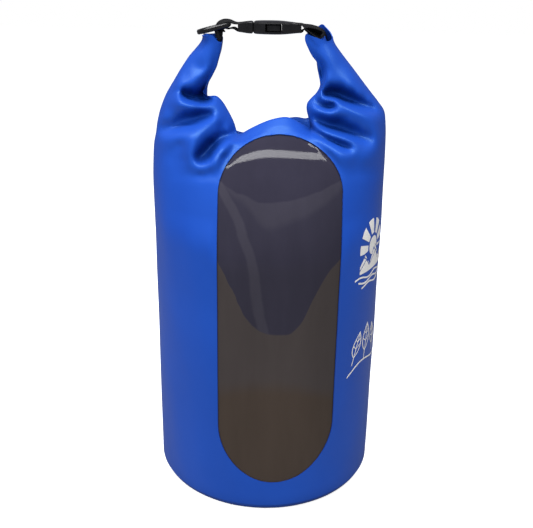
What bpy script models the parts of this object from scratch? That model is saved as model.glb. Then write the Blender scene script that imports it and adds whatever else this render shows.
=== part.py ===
"""Roll-top dry bag with a clear front window: PVC tube, welded base, and a rolled lip
clipped into a carrying handle.

Metres, +Z up. The window faces -Y, so left is -X and right is +X.
The origin is the centre of the base, on the ground.
"""

import math
from bisect import bisect_right

import bmesh
import bpy
from mathutils import Matrix, Vector

# ---------------------------------------------------------------- driving dimensions
RADIUS = 0.117  # outer radius of the fabric tube
WALL = 0.0008  # PVC tarpaulin
MID_RADIUS = RADIUS - WALL / 2  # middle of the tube's fabric
GAP = 0.0003  # clearance between neighbouring pieces
BASE_EDGE = 0.010  # rounding where the base turns up into the wall
FLANGE_TOP = 0.026  # top of the base's welded flange, inside the tube
SHOULDER_Z = 0.300  # where the round tube starts to flatten towards the rolled lip

WINDOW_X = 0.0110  # the window sits a little to the right of the front line
WINDOW_HALF = 0.0578  # half its width, seen from the front
WINDOW_LOW, WINDOW_LOW_C = 0.0378, 0.098  # lowest point, and where its lower arc starts
WINDOW_TOP_C, WINDOW_TOP = 0.334, 0.3835  # where its upper arc starts, and its highest point
WELD = 0.008  # the film's welded margin behind the fabric
FILM_T = 0.0006
FILM_INSET = WALL + GAP + 0.0009  # from the middle of the fabric to the middle of the film
FILM_FOOT = 0.022  # bottom of the film before it is trimmed

COIL_N, COIL_Y = 0.0092, 0.0172  # half thickness and half width of the rolled lip
SLOT_N, SLOT_Y = 0.0043, 0.0147  # hollow of the roll, round its stiffener and webbing
HINGE_S = 0.062  # distance along the lip, from its middle, to the bend where it turns up
HINGE_GAP = 0.004  # half the break in the roll at that bend

STIFFENER_HALF, STIFFENER_T = 0.0110, 0.0010
PLY_OUT = 0.0011  # stiffener and webbing lie this far to either side of the lip's line
PLY_INSET = 0.001  # both stop this far inside the roll at the bends

BUCKLE_Z = 0.4715
PIVOT_X, PIVOT_Z = 0.0500, 0.4700  # where the webbing folds between lip and buckle
WEB_HALF = 0.0125  # half of the 25 mm webbing
WEB_T = 0.0012
TAIL_BEND = (0.0533, 0.4640)  # XZ of the lip webbing's last two points, above the roll
TAIL_END = (PIVOT_X + 0.0012, PIVOT_Z - 0.0020)

TACK_X, TACK_Z = 0.0541, 0.4622  # the webbing's line at the bar tack
TACK_TILT = math.radians(24.0)
TACK_HALF = (0.0004, 0.0100, 0.0013)
TACK_OUT = WEB_T / 2 + GAP + 0.0006  # from the webbing's line to the tack's centre

PLUG_X0, PLUG_X1 = -0.0317, -0.0174  # exposed half of the buckle's male part
SOCKET_X0, SOCKET_X1 = -0.0171, 0.0300
BUCKLE_HALF_Y, PLUG_HALF_Z, SOCKET_HALF_Z = 0.0170, 0.0060, 0.00625
BAR_LONG, BAR_HALF = 0.0055, 0.0025  # webbing bar at each end: length in X, half its height
BAR_SLOT, BAR_SLOT_HALF_Y = 0.0030, 0.0131  # slot beside the bar
CUT_HALF_Z = 0.02  # tools for the slots reach this far from the buckle's middle
CAVITY_HALF_Z = 0.0036  # hollow and side windows of the socket
RECESS_HALF_Z = 0.0033  # pockets for the prongs in the plug
PRONG_ROOT_X, PRONG_ROOT_Y, PRONG_ROOT_R = -0.0205, 0.0095, 0.0022
PRONG_HALF_Z, PRONG_EDGE = 0.0028, 0.0004

RING_X, RING_Z = -0.0415, 0.4735  # the D-ring's bar
RING_HALF_IN, RING_BAR, RING_LONG = 0.0130, 0.0044, 0.0330
RING_CORNER, RING_CHAMFER = 0.0026, 0.0009
RING_TILT = math.radians(14.5)
RING_EYE = 0.0034  # radius of the hole the webbing leaves for the ring's bar

# ---------------------------------------------------------------- clean start
for old in list(bpy.data.objects):
    bpy.data.objects.remove(old, do_unlink=True)
for old in list(bpy.data.collections):
    bpy.data.collections.remove(old)

PARTS = bpy.data.collections.new("dry_bag")
CUTTERS = bpy.data.collections.new("cutters")
bpy.context.scene.collection.children.link(PARTS)
bpy.context.scene.collection.children.link(CUTTERS)


# ---------------------------------------------------------------- materials
def material(name, colour, roughness, alpha=1.0):
    made = bpy.data.materials.new(name)
    made.use_nodes = True
    shader = made.node_tree.nodes["Principled BSDF"]
    shader.inputs["Base Color"].default_value = (*colour, 1.0)
    shader.inputs["Roughness"].default_value = roughness
    shader.inputs["Alpha"].default_value = alpha
    made.diffuse_color = (*colour, 1.0)
    return made


PVC = material("pvc_blue", colour=(0.028, 0.105, 0.50), roughness=0.45)
FILM = material("window_film", colour=(0.055, 0.052, 0.058), roughness=0.08, alpha=0.75)
PLASTIC = material("black_plastic", colour=(0.012, 0.012, 0.013), roughness=0.38)
WEBBING = material("black_webbing", colour=(0.014, 0.014, 0.016), roughness=0.8)
STRIP = material("stiffener", colour=(0.55, 0.55, 0.53), roughness=0.5)
THREAD = material("thread", colour=(0.02, 0.02, 0.022), roughness=0.7)


# ---------------------------------------------------------------- numbers and plane outlines
def mix(start, end, part):
    return start + (end - start) * part


def smoothstep(part):
    part = min(1.0, max(0.0, part))
    return part * part * (3 - 2 * part)


def spaced(start, end, count):
    """count + 1 even values from start to end."""
    return [start + (end - start) * i / count for i in range(count + 1)]


def around(half, middle=0.0):
    return middle - half, middle + half


def arc(x, y, radius, start, sweep, steps):
    turns = [start + sweep * i / steps for i in range(steps + 1)]
    return [(x + radius * math.cos(turn), y + radius * math.sin(turn)) for turn in turns]


def circle(x, y, radius, count):
    return arc(x, y, radius, 0.0, 2 * math.pi, count)[:-1]


def hull(points):
    """Convex outline of some points, in order."""
    points = sorted(set((round(x, 7), round(y, 7)) for x, y in points))

    def chain(run):
        kept = []
        for point in run:
            while len(kept) > 1 and (
                (kept[-1][0] - kept[-2][0]) * (point[1] - kept[-2][1])
                - (kept[-1][1] - kept[-2][1]) * (point[0] - kept[-2][0])
            ) <= 1e-12:
                kept.pop()
            kept.append(point)
        return kept

    return chain(points)[:-1] + chain(points[::-1])[:-1]


def envelope(shapes, count=44):
    """Outline of overlapping convex shapes that together have one top and one bottom at each x."""
    left = min(point[0] for shape in shapes for point in shape)
    right = max(point[0] for shape in shapes for point in shape)
    tops, lows = [], []
    for i in range(count + 1):
        # the cosine packs the stations closer towards both ends
        x = left + (right - left) * (0.5 - 0.5 * math.cos(math.pi * i / count))
        x = min(max(x, left + 1e-7), right - 1e-7)
        found = []
        for shape in shapes:
            for (x0, y0), (x1, y1) in zip(shape, shape[1:] + shape[:1]):
                if (x0 - x) * (x1 - x) < 0:
                    found.append(y0 + (y1 - y0) * (x - x0) / (x1 - x0))
        tops.append((x, max(found)))
        lows.append((x, min(found)))
    left_tip, right_tip = (
        (tops[end][0], (tops[end][1] + lows[end][1]) / 2) for end in (0, -1)
    )
    return lows[1:-1] + [right_tip] + tops[-2:0:-1] + [left_tip]


# ---------------------------------------------------------------- objects and meshes
def add(name, mesh, mat):
    thing = bpy.data.objects.new(name, mesh)
    PARTS.objects.link(thing)
    mesh.materials.append(mat)
    return thing


def cutter(name, mesh):
    thing = bpy.data.objects.new(name, mesh)
    CUTTERS.objects.link(thing)
    thing.hide_render = True
    thing.display_type = "WIRE"
    return thing


def mesh_from(name, made):
    bmesh.ops.recalc_face_normals(made, faces=made.faces[:])
    mesh = bpy.data.meshes.new(name)
    made.to_mesh(mesh)
    made.free()
    return mesh


def new_verts(made, points):
    return [made.verts.new(point) for point in points]


def bridge(made, first, second):
    """Faces between two closed rings of vertices."""
    for i in range(len(first)):
        j = (i + 1) % len(first)
        made.faces.new((first[i], first[j], second[j], second[i]))


def block(name, x_span, y_span, z_span, taper=1.0):
    """A box as a mesh; taper narrows its +X end in Y."""
    made = bmesh.new()
    bmesh.ops.create_cube(made, size=1.0)
    for vert in made.verts:
        x, y, z = vert.co
        wide = taper if x > 0 else 1.0
        vert.co = (
            mix(*x_span, x + 0.5),
            sum(y_span) / 2 + y * (y_span[1] - y_span[0]) * wide,
            mix(*z_span, z + 0.5),
        )
    return mesh_from(name, made)


def rod(name, x, y, z_span, radius, sides):
    made = bmesh.new()
    bmesh.ops.create_cone(
        made,
        cap_ends=True,
        segments=sides,
        radius1=radius,
        radius2=radius,
        depth=z_span[1] - z_span[0],
    )
    bmesh.ops.translate(made, verts=made.verts[:], vec=(x, y, sum(z_span) / 2))
    return mesh_from(name, made)


def prism(name, points, y0, y1):
    """A cutter: an XZ outline drawn out from y0 to y1."""
    made = bmesh.new()
    near = new_verts(made, [(x, y0, z) for x, z in points])
    far = new_verts(made, [(x, y1, z) for x, z in points])
    made.faces.new(near)
    made.faces.new(far[::-1])
    bridge(made, far, near)
    return cutter(name, mesh_from(name, made))


def grid_sheet(name, rows):
    """An open sheet lofted through rows of points, all rows of one length."""
    made = bmesh.new()
    lines = [new_verts(made, row) for row in rows]
    for low, high in zip(lines, lines[1:]):
        for i in range(len(low) - 1):
            made.faces.new((low[i], low[i + 1], high[i + 1], high[i]))
    return mesh_from(name, made)


def outline(name, loops, half, mat):
    """Flat closed XY outlines, later ones being holes, filled and thickened by half each way."""
    curve = bpy.data.curves.new(name + "_curve", "CURVE")
    curve.dimensions = "2D"
    curve.fill_mode = "BOTH"
    curve.extrude = half
    for points in loops:
        spline = curve.splines.new("POLY")
        spline.points.add(len(points) - 1)
        for target, (x, y) in zip(spline.points, points):
            target.co = (x, y, 0.0, 1.0)
        spline.use_cyclic_u = True
    helper = bpy.data.objects.new(name + "_curve", curve)
    PARTS.objects.link(helper)
    bpy.context.view_layer.update()
    graph = bpy.context.evaluated_depsgraph_get()
    mesh = bpy.data.meshes.new_from_object(helper.evaluated_get(graph))
    made = bmesh.new()
    made.from_mesh(mesh)
    bmesh.ops.remove_doubles(made, verts=made.verts[:], dist=0.00001)
    if len(loops) == 1:
        # without holes, the fill's triangles can join into one face per side
        bmesh.ops.dissolve_limit(
            made,
            angle_limit=0.001,
            verts=made.verts[:],
            edges=made.edges[:],
            delimit=set(),
        )
    bmesh.ops.recalc_face_normals(made, faces=made.faces[:])
    made.to_mesh(mesh)
    made.free()
    mesh.materials.clear()
    bpy.data.objects.remove(helper, do_unlink=True)
    return add(name, mesh, mat)


# ---------------------------------------------------------------- modifiers and shading
def cut(thing, other, operation="DIFFERENCE"):
    made = thing.modifiers.new(operation.lower() + "_" + other.name, "BOOLEAN")
    made.operation = operation
    made.object = other
    made.solver = "EXACT"


def bevel(thing, width, segments, angle=30):
    made = thing.modifiers.new("bevel", "BEVEL")
    made.width = width
    made.segments = segments
    made.limit_method = "ANGLE"
    made.angle_limit = math.radians(angle)


def solidify(thing, thickness):
    made = thing.modifiers.new("solidify", "SOLIDIFY")
    made.thickness = thickness
    made.offset = 0.0
    made.use_even_offset = True


def smooth(thing, angle=40):
    thing.data.shade_smooth()
    thing.data.set_sharp_from_angle(angle=math.radians(angle))


# ---------------------------------------------------------------- the lip's line, bent up into a U
# (x, z) from the middle of the lip to its right tip; the left half mirrors it
LIP = (
    (0.0, 0.3330), (0.0220, 0.3337), (0.0420, 0.3410),
    (0.0580, 0.3570), (0.0690, 0.3800), (0.0725, 0.4040),
    (0.0695, 0.4260), (0.0630, 0.4440), (0.0560, 0.4590),
)


def catmull(points, steps=10):
    """A smooth line through the points, mirrored about x = 0 at its start."""
    ends = [(-points[1][0], points[1][1])] + list(points)
    ends.append(tuple(2 * points[-1][k] - points[-2][k] for k in (0, 1)))
    line = []
    for before, start, end, after in zip(ends, ends[1:], ends[2:], ends[3:]):
        for i in range(steps):
            part = i / steps
            line.append(
                tuple(
                    0.5
                    * (
                        2 * start[k]
                        + (end[k] - before[k]) * part
                        + (2 * before[k] - 5 * start[k] + 4 * end[k] - after[k]) * part * part
                        + (3 * start[k] - before[k] - 3 * end[k] + after[k]) * part**3
                    )
                    for k in (0, 1)
                )
            )
    line.append(tuple(points[-1]))
    return line


LINE = catmull(LIP)
SUMS = [0.0]  # length along the line at each of its points
for first, second in zip(LINE, LINE[1:]):
    SUMS.append(SUMS[-1] + math.dist(first, second))
LIP_HALF = SUMS[-1]


def lip_point(along, out):
    """(x, z) at a distance along the lip from its middle, moved out to the U's outside."""
    side = -1.0 if along < 0 else 1.0
    reach = min(abs(along), LIP_HALF - 1e-9)
    i = bisect_right(SUMS, reach) - 1
    part = (reach - SUMS[i]) / (SUMS[i + 1] - SUMS[i])
    x, z = (mix(LINE[i][k], LINE[i + 1][k], part) for k in (0, 1))
    low, high = LINE[max(i - 1, 0)], LINE[min(i + 2, len(LINE) - 1)]
    tangent = Vector((high[0] - low[0], high[1] - low[1])).normalized()
    if i == 0:
        # level at the middle, so that the two halves meet smoothly
        tangent = Vector((1.0, 0.0)).lerp(tangent, part).normalized()
    return side * (x + tangent[1] * out), z - tangent[0] * out


# ---------------------------------------------------------------- the fabric surface
MOUTH_N, MOUTH_Y = COIL_N + 0.0020, COIL_Y + 0.0022  # where the fabric ends round the roll
MOUTH_SWELL = 0.006  # extra half depth of the mouth, away from its middle and tips
SIDE_START = 0.55  # share of the half width where the fabric has passed under the roll
RISE_MIDDLE, RISE_SIDE = 0.082, 0.060  # lower handle of the profile curve, straight up
PULL_MIDDLE, PULL_SIDE, PULL_TIP = 0.118, 0.046, 0.018  # upper handle; the tip's is added
PULL_TURN = math.radians(140.0)  # how far the upper handle leans over at the sides
PULL_Y = 0.030  # its reach to front or back, at the middle


def shoulder(across, climb, face):
    """Fabric point above the round tube.

    across runs -1..1 from left to right, climb 0..1 from tube to lip, and face is
    -1 for the front, +1 for the back. Each profile is a cubic Bezier curve.
    """
    width = abs(across)
    side = -1.0 if across < 0 else 1.0
    angle = across * math.pi / 2
    start = Vector(
        (MID_RADIUS * math.sin(angle), face * MID_RADIUS * math.cos(angle), SHOULDER_Z)
    )
    turn = math.pi / 2 * smoothstep(width / SIDE_START)
    x, z = lip_point(across * LIP_HALF, MOUTH_N * math.sin(turn))
    y = MOUTH_Y * math.cos(turn) + MOUTH_SWELL * math.sin(turn) * (1 - width**4)
    end = Vector((x, face * y, z))
    second = start + Vector((0.0, 0.0, mix(RISE_MIDDLE, RISE_SIDE, smoothstep(width))))
    lean = PULL_TURN * width**1.2
    pull = mix(PULL_MIDDLE, PULL_SIDE, smoothstep(width / SIDE_START))
    pull += PULL_TIP * smoothstep((width - SIDE_START) / (1 - SIDE_START))
    third = end + Vector(
        (side * math.sin(lean) * pull, face * PULL_Y * (1 - width * width), math.cos(lean) * pull)
    )
    left = 1 - climb
    return (
        start * left**3
        + second * (3 * left**2 * climb)
        + third * (3 * left * climb * climb)
        + end * climb**3
    )


# ---------------------------------------------------------------- base, its flange inside the tube
def base_disc():
    """A turned pan, made from its closed XZ profile."""
    outer = RADIUS - WALL - GAP
    outside, inside = (
        arc(outer - BASE_EDGE, BASE_EDGE, radius, 0.0, -math.pi / 2, 6)
        for radius in (BASE_EDGE, BASE_EDGE - WALL)
    )
    profile = [(outer - WALL, FLANGE_TOP), (outer, FLANGE_TOP)]
    profile += outside + [(0.0, 0.0), (0.0, WALL)] + inside[::-1]
    made = bmesh.new()
    verts = new_verts(made, [(x, 0.0, z) for x, z in profile])
    for i in range(len(verts)):
        j = (i + 1) % len(verts)
        if profile[i][0] == 0.0 and profile[j][0] == 0.0:
            continue  # an edge on the axis would sweep no surface
        made.edges.new((verts[i], verts[j]))
    thing = add("base_disc", mesh_from("base_disc", made), PVC)
    screw = thing.modifiers.new("screw", "SCREW")
    screw.axis = "Z"
    screw.steps = screw.render_steps = 48
    screw.use_merge_vertices = True
    screw.merge_threshold = 0.0001
    screw.use_smooth_shade = True


base_disc()


# ---------------------------------------------------------------- window cutters
def window_loop(grow):
    """The window's outline in XZ, two half ellipses joined by straights, grown all round."""
    half = WINDOW_HALF + grow
    ends = (
        (0.0, WINDOW_TOP_C, WINDOW_TOP + grow - WINDOW_TOP_C),
        (math.pi, WINDOW_LOW_C, WINDOW_LOW_C - (WINDOW_LOW - grow)),
    )
    return [
        (WINDOW_X + half * math.cos(turn), middle + height * math.sin(turn))
        for start, middle, height in ends
        for turn in spaced(start, start + math.pi, 16)
    ]


WINDOW_HOLE = prism("window_hole", window_loop(0.0), -0.150, -0.052)
WINDOW_TRIM = prism("window_trim", window_loop(WELD), -0.160, -0.047)


# ---------------------------------------------------------------- tube, shoulders and film
def finish_fabric(thing):
    solidify(thing, WALL)
    cut(thing, WINDOW_HOLE)
    smooth(thing)


def body_tube():
    made = bmesh.new()
    low, high = (
        new_verts(made, [(x, y, z) for x, y in circle(0.0, 0.0, MID_RADIUS, 64)])
        for z in (BASE_EDGE, SHOULDER_Z - GAP)
    )
    bridge(made, low, high)
    finish_fabric(add("body_tube", mesh_from("body_tube", made), PVC))


def shoulder_half(name, sign):
    """One side's fabric, from the front middle round the side to the back middle."""
    front = spaced(0.0, 1.0, 13)
    front[0] = GAP / 2 / (RADIUS * math.pi / 2)
    rows = []
    for climb in spaced(0.0, 1.0, 11):
        row = [shoulder(sign * across, climb, -1.0) for across in front]
        row += [shoulder(sign * across, climb, 1.0) for across in reversed(front[:-1])]
        for point in (row[0], row[-1]):
            point[0] = sign * GAP / 2
        rows.append(row)
    finish_fabric(add(name, grid_sheet(name, rows), PVC))


def window_film():
    """The fabric's front surface moved inwards, then trimmed to the window and its weld."""
    span, shift = 0.66, 0.09  # shares of the half width: the film's half span and its shift
    step = 0.004  # for the surface's slopes
    columns = spaced(-span + shift, span + shift, 18)
    radius = MID_RADIUS - FILM_INSET
    turns = [across * math.pi / 2 for across in columns]
    rows = [
        [Vector((radius * math.sin(turn), -radius * math.cos(turn), z)) for turn in turns]
        for z in spaced(FILM_FOOT, SHOULDER_Z, 3)[:-1]
    ]
    for i in range(11):
        climb = 0.060 * i
        row = []
        for across in columns:
            here = shoulder(across, climb, -1.0)
            sideways = shoulder(across + step, climb, -1.0) - shoulder(across - step, climb, -1.0)
            upwards = shoulder(across, climb + step, -1.0)
            upwards -= shoulder(across, max(climb - step, 0.0), -1.0)
            row.append(here - sideways.cross(upwards).normalized() * FILM_INSET)
        rows.append(row)
    thing = add("window_film", grid_sheet("window_film", rows), FILM)
    solidify(thing, FILM_T)
    cut(thing, WINDOW_TRIM, "INTERSECT")
    smooth(thing)


body_tube()
shoulder_half("shoulder_left", -1.0)
shoulder_half("shoulder_right", 1.0)
window_film()


# ---------------------------------------------------------------- the rolled lip and what it holds
def sleeve(name, start, end, steps=12, sides=20):
    """An oval tube along the lip, for the wound fabric."""
    made = bmesh.new()
    turns = [2 * math.pi * k / sides for k in range(sides)]
    outer, inner = [], []
    for along in spaced(start, end, steps):
        for rings, half_n, half_y in ((outer, COIL_N, COIL_Y), (inner, SLOT_N, SLOT_Y)):
            points = []
            for turn in turns:
                x, z = lip_point(along, half_n * math.cos(turn))
                points.append((x, half_y * math.sin(turn), z))
            rings.append(new_verts(made, points))
    for rings in (outer, inner):
        for first, second in zip(rings, rings[1:]):
            bridge(made, first, second)
    for end_ring in (0, -1):
        bridge(made, outer[end_ring], inner[end_ring])
    smooth(add(name, mesh_from(name, made), PVC))


def strip(name, points, half_y, thickness, mat):
    """A flat strap through points in XZ, as a sheet with a thickness."""
    rows = [[(x, -half_y, z), (x, half_y, z)] for x, z in points]
    solidify(add(name, grid_sheet(name, rows), mat), thickness)


def stiffener(side, points):
    strip("stiffener_" + side, points, STIFFENER_HALF, STIFFENER_T, STRIP)


def lip_webbing(side, points):
    strip("lip_webbing_" + side, points, WEB_HALF, WEB_T, WEBBING)


def lip_points(start, end, steps, out):
    return [lip_point(along, out) for along in spaced(start, end, steps)]


def lip_center():
    end = HINGE_S - HINGE_GAP
    ply_end = end - PLY_INSET
    sleeve("roll_center", -end, end)
    stiffener("center", lip_points(-ply_end, ply_end, 12, PLY_OUT))
    lip_webbing("center", lip_points(-ply_end, ply_end, 12, -PLY_OUT))


def lip_side(side, sign):
    start = HINGE_S + HINGE_GAP
    ply_start = sign * (start + PLY_INSET)
    sleeve("roll_" + side, sign * start, sign * LIP_HALF)
    stiffener(side, lip_points(ply_start, sign * (LIP_HALF - 0.004), 10, PLY_OUT))
    tail = lip_points(ply_start, sign * (LIP_HALF - 0.002), 10, -PLY_OUT)
    tail += [(sign * x, z) for x, z in (TAIL_BEND, TAIL_END)]
    lip_webbing(side, tail)


lip_center()
lip_side("left", -1.0)
lip_side("right", 1.0)


# ---------------------------------------------------------------- webbing loops on the buckle
def web_loop(name, bar_x0, bar_x1, sign, ring=None):
    """Webbing round a buckle bar, and round a ring's bar if given, down to a two-ply end."""
    corner = 0.0004
    half_hole = BAR_HALF + GAP
    centres = [
        (x, z)
        for x in (bar_x0 - GAP + corner, bar_x1 + GAP - corner)
        for z in (BUCKLE_Z - half_hole + corner, BUCKLE_Z + half_hole - corner)
    ]
    wrap = hull([p for x, z in centres for p in circle(x, z, corner + WEB_T, 16)])
    holes = [hull([p for x, z in centres for p in circle(x, z, corner, 12)])]
    far = circle(sign * (PIVOT_X - WEB_T), PIVOT_Z + 0.0006, WEB_T, 16)
    if ring:
        eye = circle(*ring, RING_EYE + WEB_T, 24)
        holes.append(circle(*ring, RING_EYE, 20))
        line = envelope([hull(wrap + eye), hull(eye + far)])
    else:
        line = envelope([hull(wrap + far)])
    thing = outline(name, [line] + [hole[::-1] for hole in holes], WEB_HALF, WEBBING)
    thing.data.transform(Matrix.Rotation(math.pi / 2, 4, "X"))
    smooth(thing, 35)


web_loop("webbing_left_loop", PLUG_X0, PLUG_X0 + BAR_LONG, -1.0, ring=(RING_X, RING_Z))
web_loop("webbing_right_loop", SOCKET_X1 - BAR_LONG, SOCKET_X1, 1.0)


# ---------------------------------------------------------------- bar tacks at the webbing's fold
def bartack(side, sign):
    name = "bartack_" + side
    tack = add(name, block(name, *(around(half) for half in TACK_HALF)), THREAD)
    tack.rotation_euler = (0.0, -sign * TACK_TILT, 0.0)
    inward = Vector((-sign * math.cos(TACK_TILT), 0.0, -math.sin(TACK_TILT)))
    tack.location = Vector((sign * TACK_X, 0.0, TACK_Z)) + inward * TACK_OUT
    bevel(tack, 0.0002, 1)


bartack("left", -1.0)
bartack("right", 1.0)


# ---------------------------------------------------------------- buckle
def block_cutter(name, *spans, **options):
    return cutter(name, block(name, *spans, **options))


def cut_web_bar(thing, part, end_x, inward):
    """Leave a webbing bar at end_x; inward is the X direction into the buckle."""
    bar_x = end_x + inward * BAR_LONG
    slot_x = sorted((bar_x, bar_x + inward * BAR_SLOT))
    relief_x = sorted((end_x - inward * 0.01, bar_x + inward * 0.0010))
    bar_top, bar_bottom = BUCKLE_Z + BAR_HALF, BUCKLE_Z - BAR_HALF
    top, bottom = BUCKLE_Z + CUT_HALF_Z, BUCKLE_Z - CUT_HALF_Z
    for place, x_span, z_span in (
        ("_slot", slot_x, (bottom, top)),
        ("_over", relief_x, (bar_top, top)),
        ("_under", relief_x, (bottom, bar_bottom)),
    ):
        cut(thing, block_cutter(part + place, x_span, around(BAR_SLOT_HALF_Y), z_span))


def buckle_plug():
    body = block(
        "buckle_plug",
        (PLUG_X0, PLUG_X1),
        around(BUCKLE_HALF_Y),
        around(PLUG_HALF_Z, BUCKLE_Z),
    )
    thing = add("buckle_plug", body, PLASTIC)
    bevel(thing, 0.0016, 2)
    cut_web_bar(thing, "plug", PLUG_X0, 1.0)
    tongue = block_cutter(
        "plug_tongue",
        (PLUG_X1 - 0.0015, 0.0060),
        around(0.0030),
        around(0.0020, BUCKLE_Z),
        taper=0.8,
    )
    cut(thing, tongue, "UNION")
    z_span = around(RECESS_HALF_Z, BUCKLE_Z)
    for sign in (-1, 1):
        y = sign * PRONG_ROOT_Y
        recess = rod("prong_recess", PRONG_ROOT_X, y, z_span, PRONG_ROOT_R + GAP, 24)
        cut(thing, cutter("prong_recess_%d" % sign, recess))
        mouth_x = (PRONG_ROOT_X, PLUG_X1 + 0.004)
        mouth_y = around(PRONG_ROOT_R, y)
        cut(thing, block_cutter("prong_mouth_%d" % sign, mouth_x, mouth_y, z_span))
    smooth(thing, 35)


def buckle_socket():
    body = block(
        "buckle_socket",
        (SOCKET_X0, SOCKET_X1),
        around(BUCKLE_HALF_Y),
        around(SOCKET_HALF_Z, BUCKLE_Z),
        taper=0.94,
    )
    thing = add("buckle_socket", body, PLASTIC)
    bevel(thing, 0.0018, 2)
    for name, x_span, half_y in (
        ("socket_cavity", (SOCKET_X0 - 0.002, 0.0125), 0.0135),
        ("socket_windows", (-0.0059, 0.0103), 0.03),
    ):
        z_span = around(CAVITY_HALF_Z, BUCKLE_Z)
        cut(thing, block_cutter(name, x_span, around(half_y), z_span))
    cut_web_bar(thing, "socket", SOCKET_X1, -1.0)
    smooth(thing, 35)


# (x, y) round the back prong's arm and barb, from the inner to the outer side of its root
PRONG_ARM = [
    (PRONG_ROOT_X + 0.0018, PRONG_ROOT_Y - 0.0014),
    (0.0095, PRONG_ROOT_Y - 0.0009),
    (0.0095, 0.0125), (0.0080, 0.0150), (0.0040, 0.0158), (0.0000, 0.0156),
    (-0.0040, 0.0145), (-0.0047, 0.0122), (-0.0080, 0.0112),
    (PRONG_ROOT_X + 0.0018, PRONG_ROOT_Y + 0.0014),
]


def buckle_prong(name, sign):
    """A sprung prong: round root in the plug, slim arm, and a barb in the socket's side window."""
    root = circle(PRONG_ROOT_X, PRONG_ROOT_Y, PRONG_ROOT_R, 20)
    loop = PRONG_ARM + [point for point in root if point[0] < PRONG_ROOT_X + 0.0017]
    thing = outline(name, [[(x, sign * y) for x, y in loop]], PRONG_HALF_Z, PLASTIC)
    bevel(thing, PRONG_EDGE, 1, 60)
    # the origin goes to the middle of the root
    thing.data.transform(Matrix.Translation((-PRONG_ROOT_X, -sign * PRONG_ROOT_Y, 0.0)))
    thing.location = (PRONG_ROOT_X, sign * PRONG_ROOT_Y, BUCKLE_Z)
    smooth(thing, 35)


buckle_plug()
buckle_socket()
buckle_prong("buckle_prong_front", -1.0)
buckle_prong("buckle_prong_back", 1.0)


# ---------------------------------------------------------------- D-ring, on the left webbing loop
def d_ring():
    """A straight bar at x = 0 and a bow towards -X, with one chamfered square section all round."""
    half = RING_HALF_IN + RING_BAR / 2
    corner_y = half - RING_CORNER
    straight = RING_LONG - RING_BAR - half
    quarter = math.pi / 2
    centre = arc(-RING_CORNER, -corner_y, RING_CORNER, -quarter, quarter, 5)
    centre += arc(-RING_CORNER, corner_y, RING_CORNER, 0.0, quarter, 5)
    centre += arc(-straight, 0.0, half, quarter, math.pi, 18)
    edge = RING_BAR / 2
    flat = edge - RING_CHAMFER
    # (out, z) round the section
    section = [
        (edge, -flat), (edge, flat), (flat, edge), (-flat, edge),
        (-edge, flat), (-edge, -flat), (-flat, -edge), (flat, -edge),
    ]
    made = bmesh.new()
    rings = []
    for i, (x, y) in enumerate(centre):
        back, ahead = centre[i - 1], centre[(i + 1) % len(centre)]
        normal = Vector((ahead[1] - back[1], -(ahead[0] - back[0]))).normalized()
        points = [(x + normal[0] * out, y + normal[1] * out, z) for out, z in section]
        rings.append(new_verts(made, points))
    for ring, following in zip(rings, rings[1:] + rings[:1]):
        bridge(made, ring, following)
    thing = add("d_ring", mesh_from("d_ring", made), PLASTIC)
    thing.rotation_euler = (0.0, -RING_TILT, 0.0)
    thing.location = (RING_X, 0.0, RING_Z)
    smooth(thing, 35)


d_ring()
bpy.context.view_layer.update()
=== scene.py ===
"""A blue roll-top dry bag with a smoky window, its two horns joined by a side-release buckle.

Metres, +Z up. The tube stands on z = 0 around the z axis. The front, with the window, faces -y;
the left horn is at -x with the buckle's plug, the right horn at +x with its socket. Tables marked
"mm" are turned into metres where they are used.
"""
import math
from contextlib import contextmanager

import bmesh
import bpy
import numpy as np
from mathutils import Matrix, Vector
from mathutils.bvhtree import BVHTree


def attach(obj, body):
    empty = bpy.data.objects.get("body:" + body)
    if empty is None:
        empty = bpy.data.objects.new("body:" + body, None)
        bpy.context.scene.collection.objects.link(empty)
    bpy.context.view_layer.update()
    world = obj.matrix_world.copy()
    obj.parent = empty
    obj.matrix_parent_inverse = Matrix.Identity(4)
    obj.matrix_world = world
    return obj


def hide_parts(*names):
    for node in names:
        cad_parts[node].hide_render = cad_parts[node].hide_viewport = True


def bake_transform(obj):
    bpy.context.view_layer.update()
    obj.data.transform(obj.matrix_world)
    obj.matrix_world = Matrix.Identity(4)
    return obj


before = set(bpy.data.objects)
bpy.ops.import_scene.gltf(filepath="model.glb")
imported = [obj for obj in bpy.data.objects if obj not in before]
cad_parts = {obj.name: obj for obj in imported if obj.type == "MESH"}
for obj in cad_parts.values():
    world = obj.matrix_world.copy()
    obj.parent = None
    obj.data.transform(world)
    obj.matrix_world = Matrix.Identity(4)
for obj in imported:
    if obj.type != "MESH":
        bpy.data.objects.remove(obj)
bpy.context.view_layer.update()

MM = 0.001
RADIUS = 0.117
HALF_WIDTH = RADIUS * math.pi / 2  # half the width of the flattened tube
WALL = 0.0008
FABRIC_FOOT = 0.0095
RING_Z = 0.270  # below this the tube is plain

# the camera; the front's folds are laid out along its line of sight too
EYE = np.array([-0.00096, -0.7533, 0.5121])
PITCH = math.radians(20.544)  # looking down
LEAN = 0.0170  # roll, radians

# guards against a colour configuration that lacks these choices
for setting, choice in (("view_transform", "Standard"), ("look", "None")):
    try:
        setattr(bpy.context.scene.view_settings, setting, choice)
    except TypeError:
        pass


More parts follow.
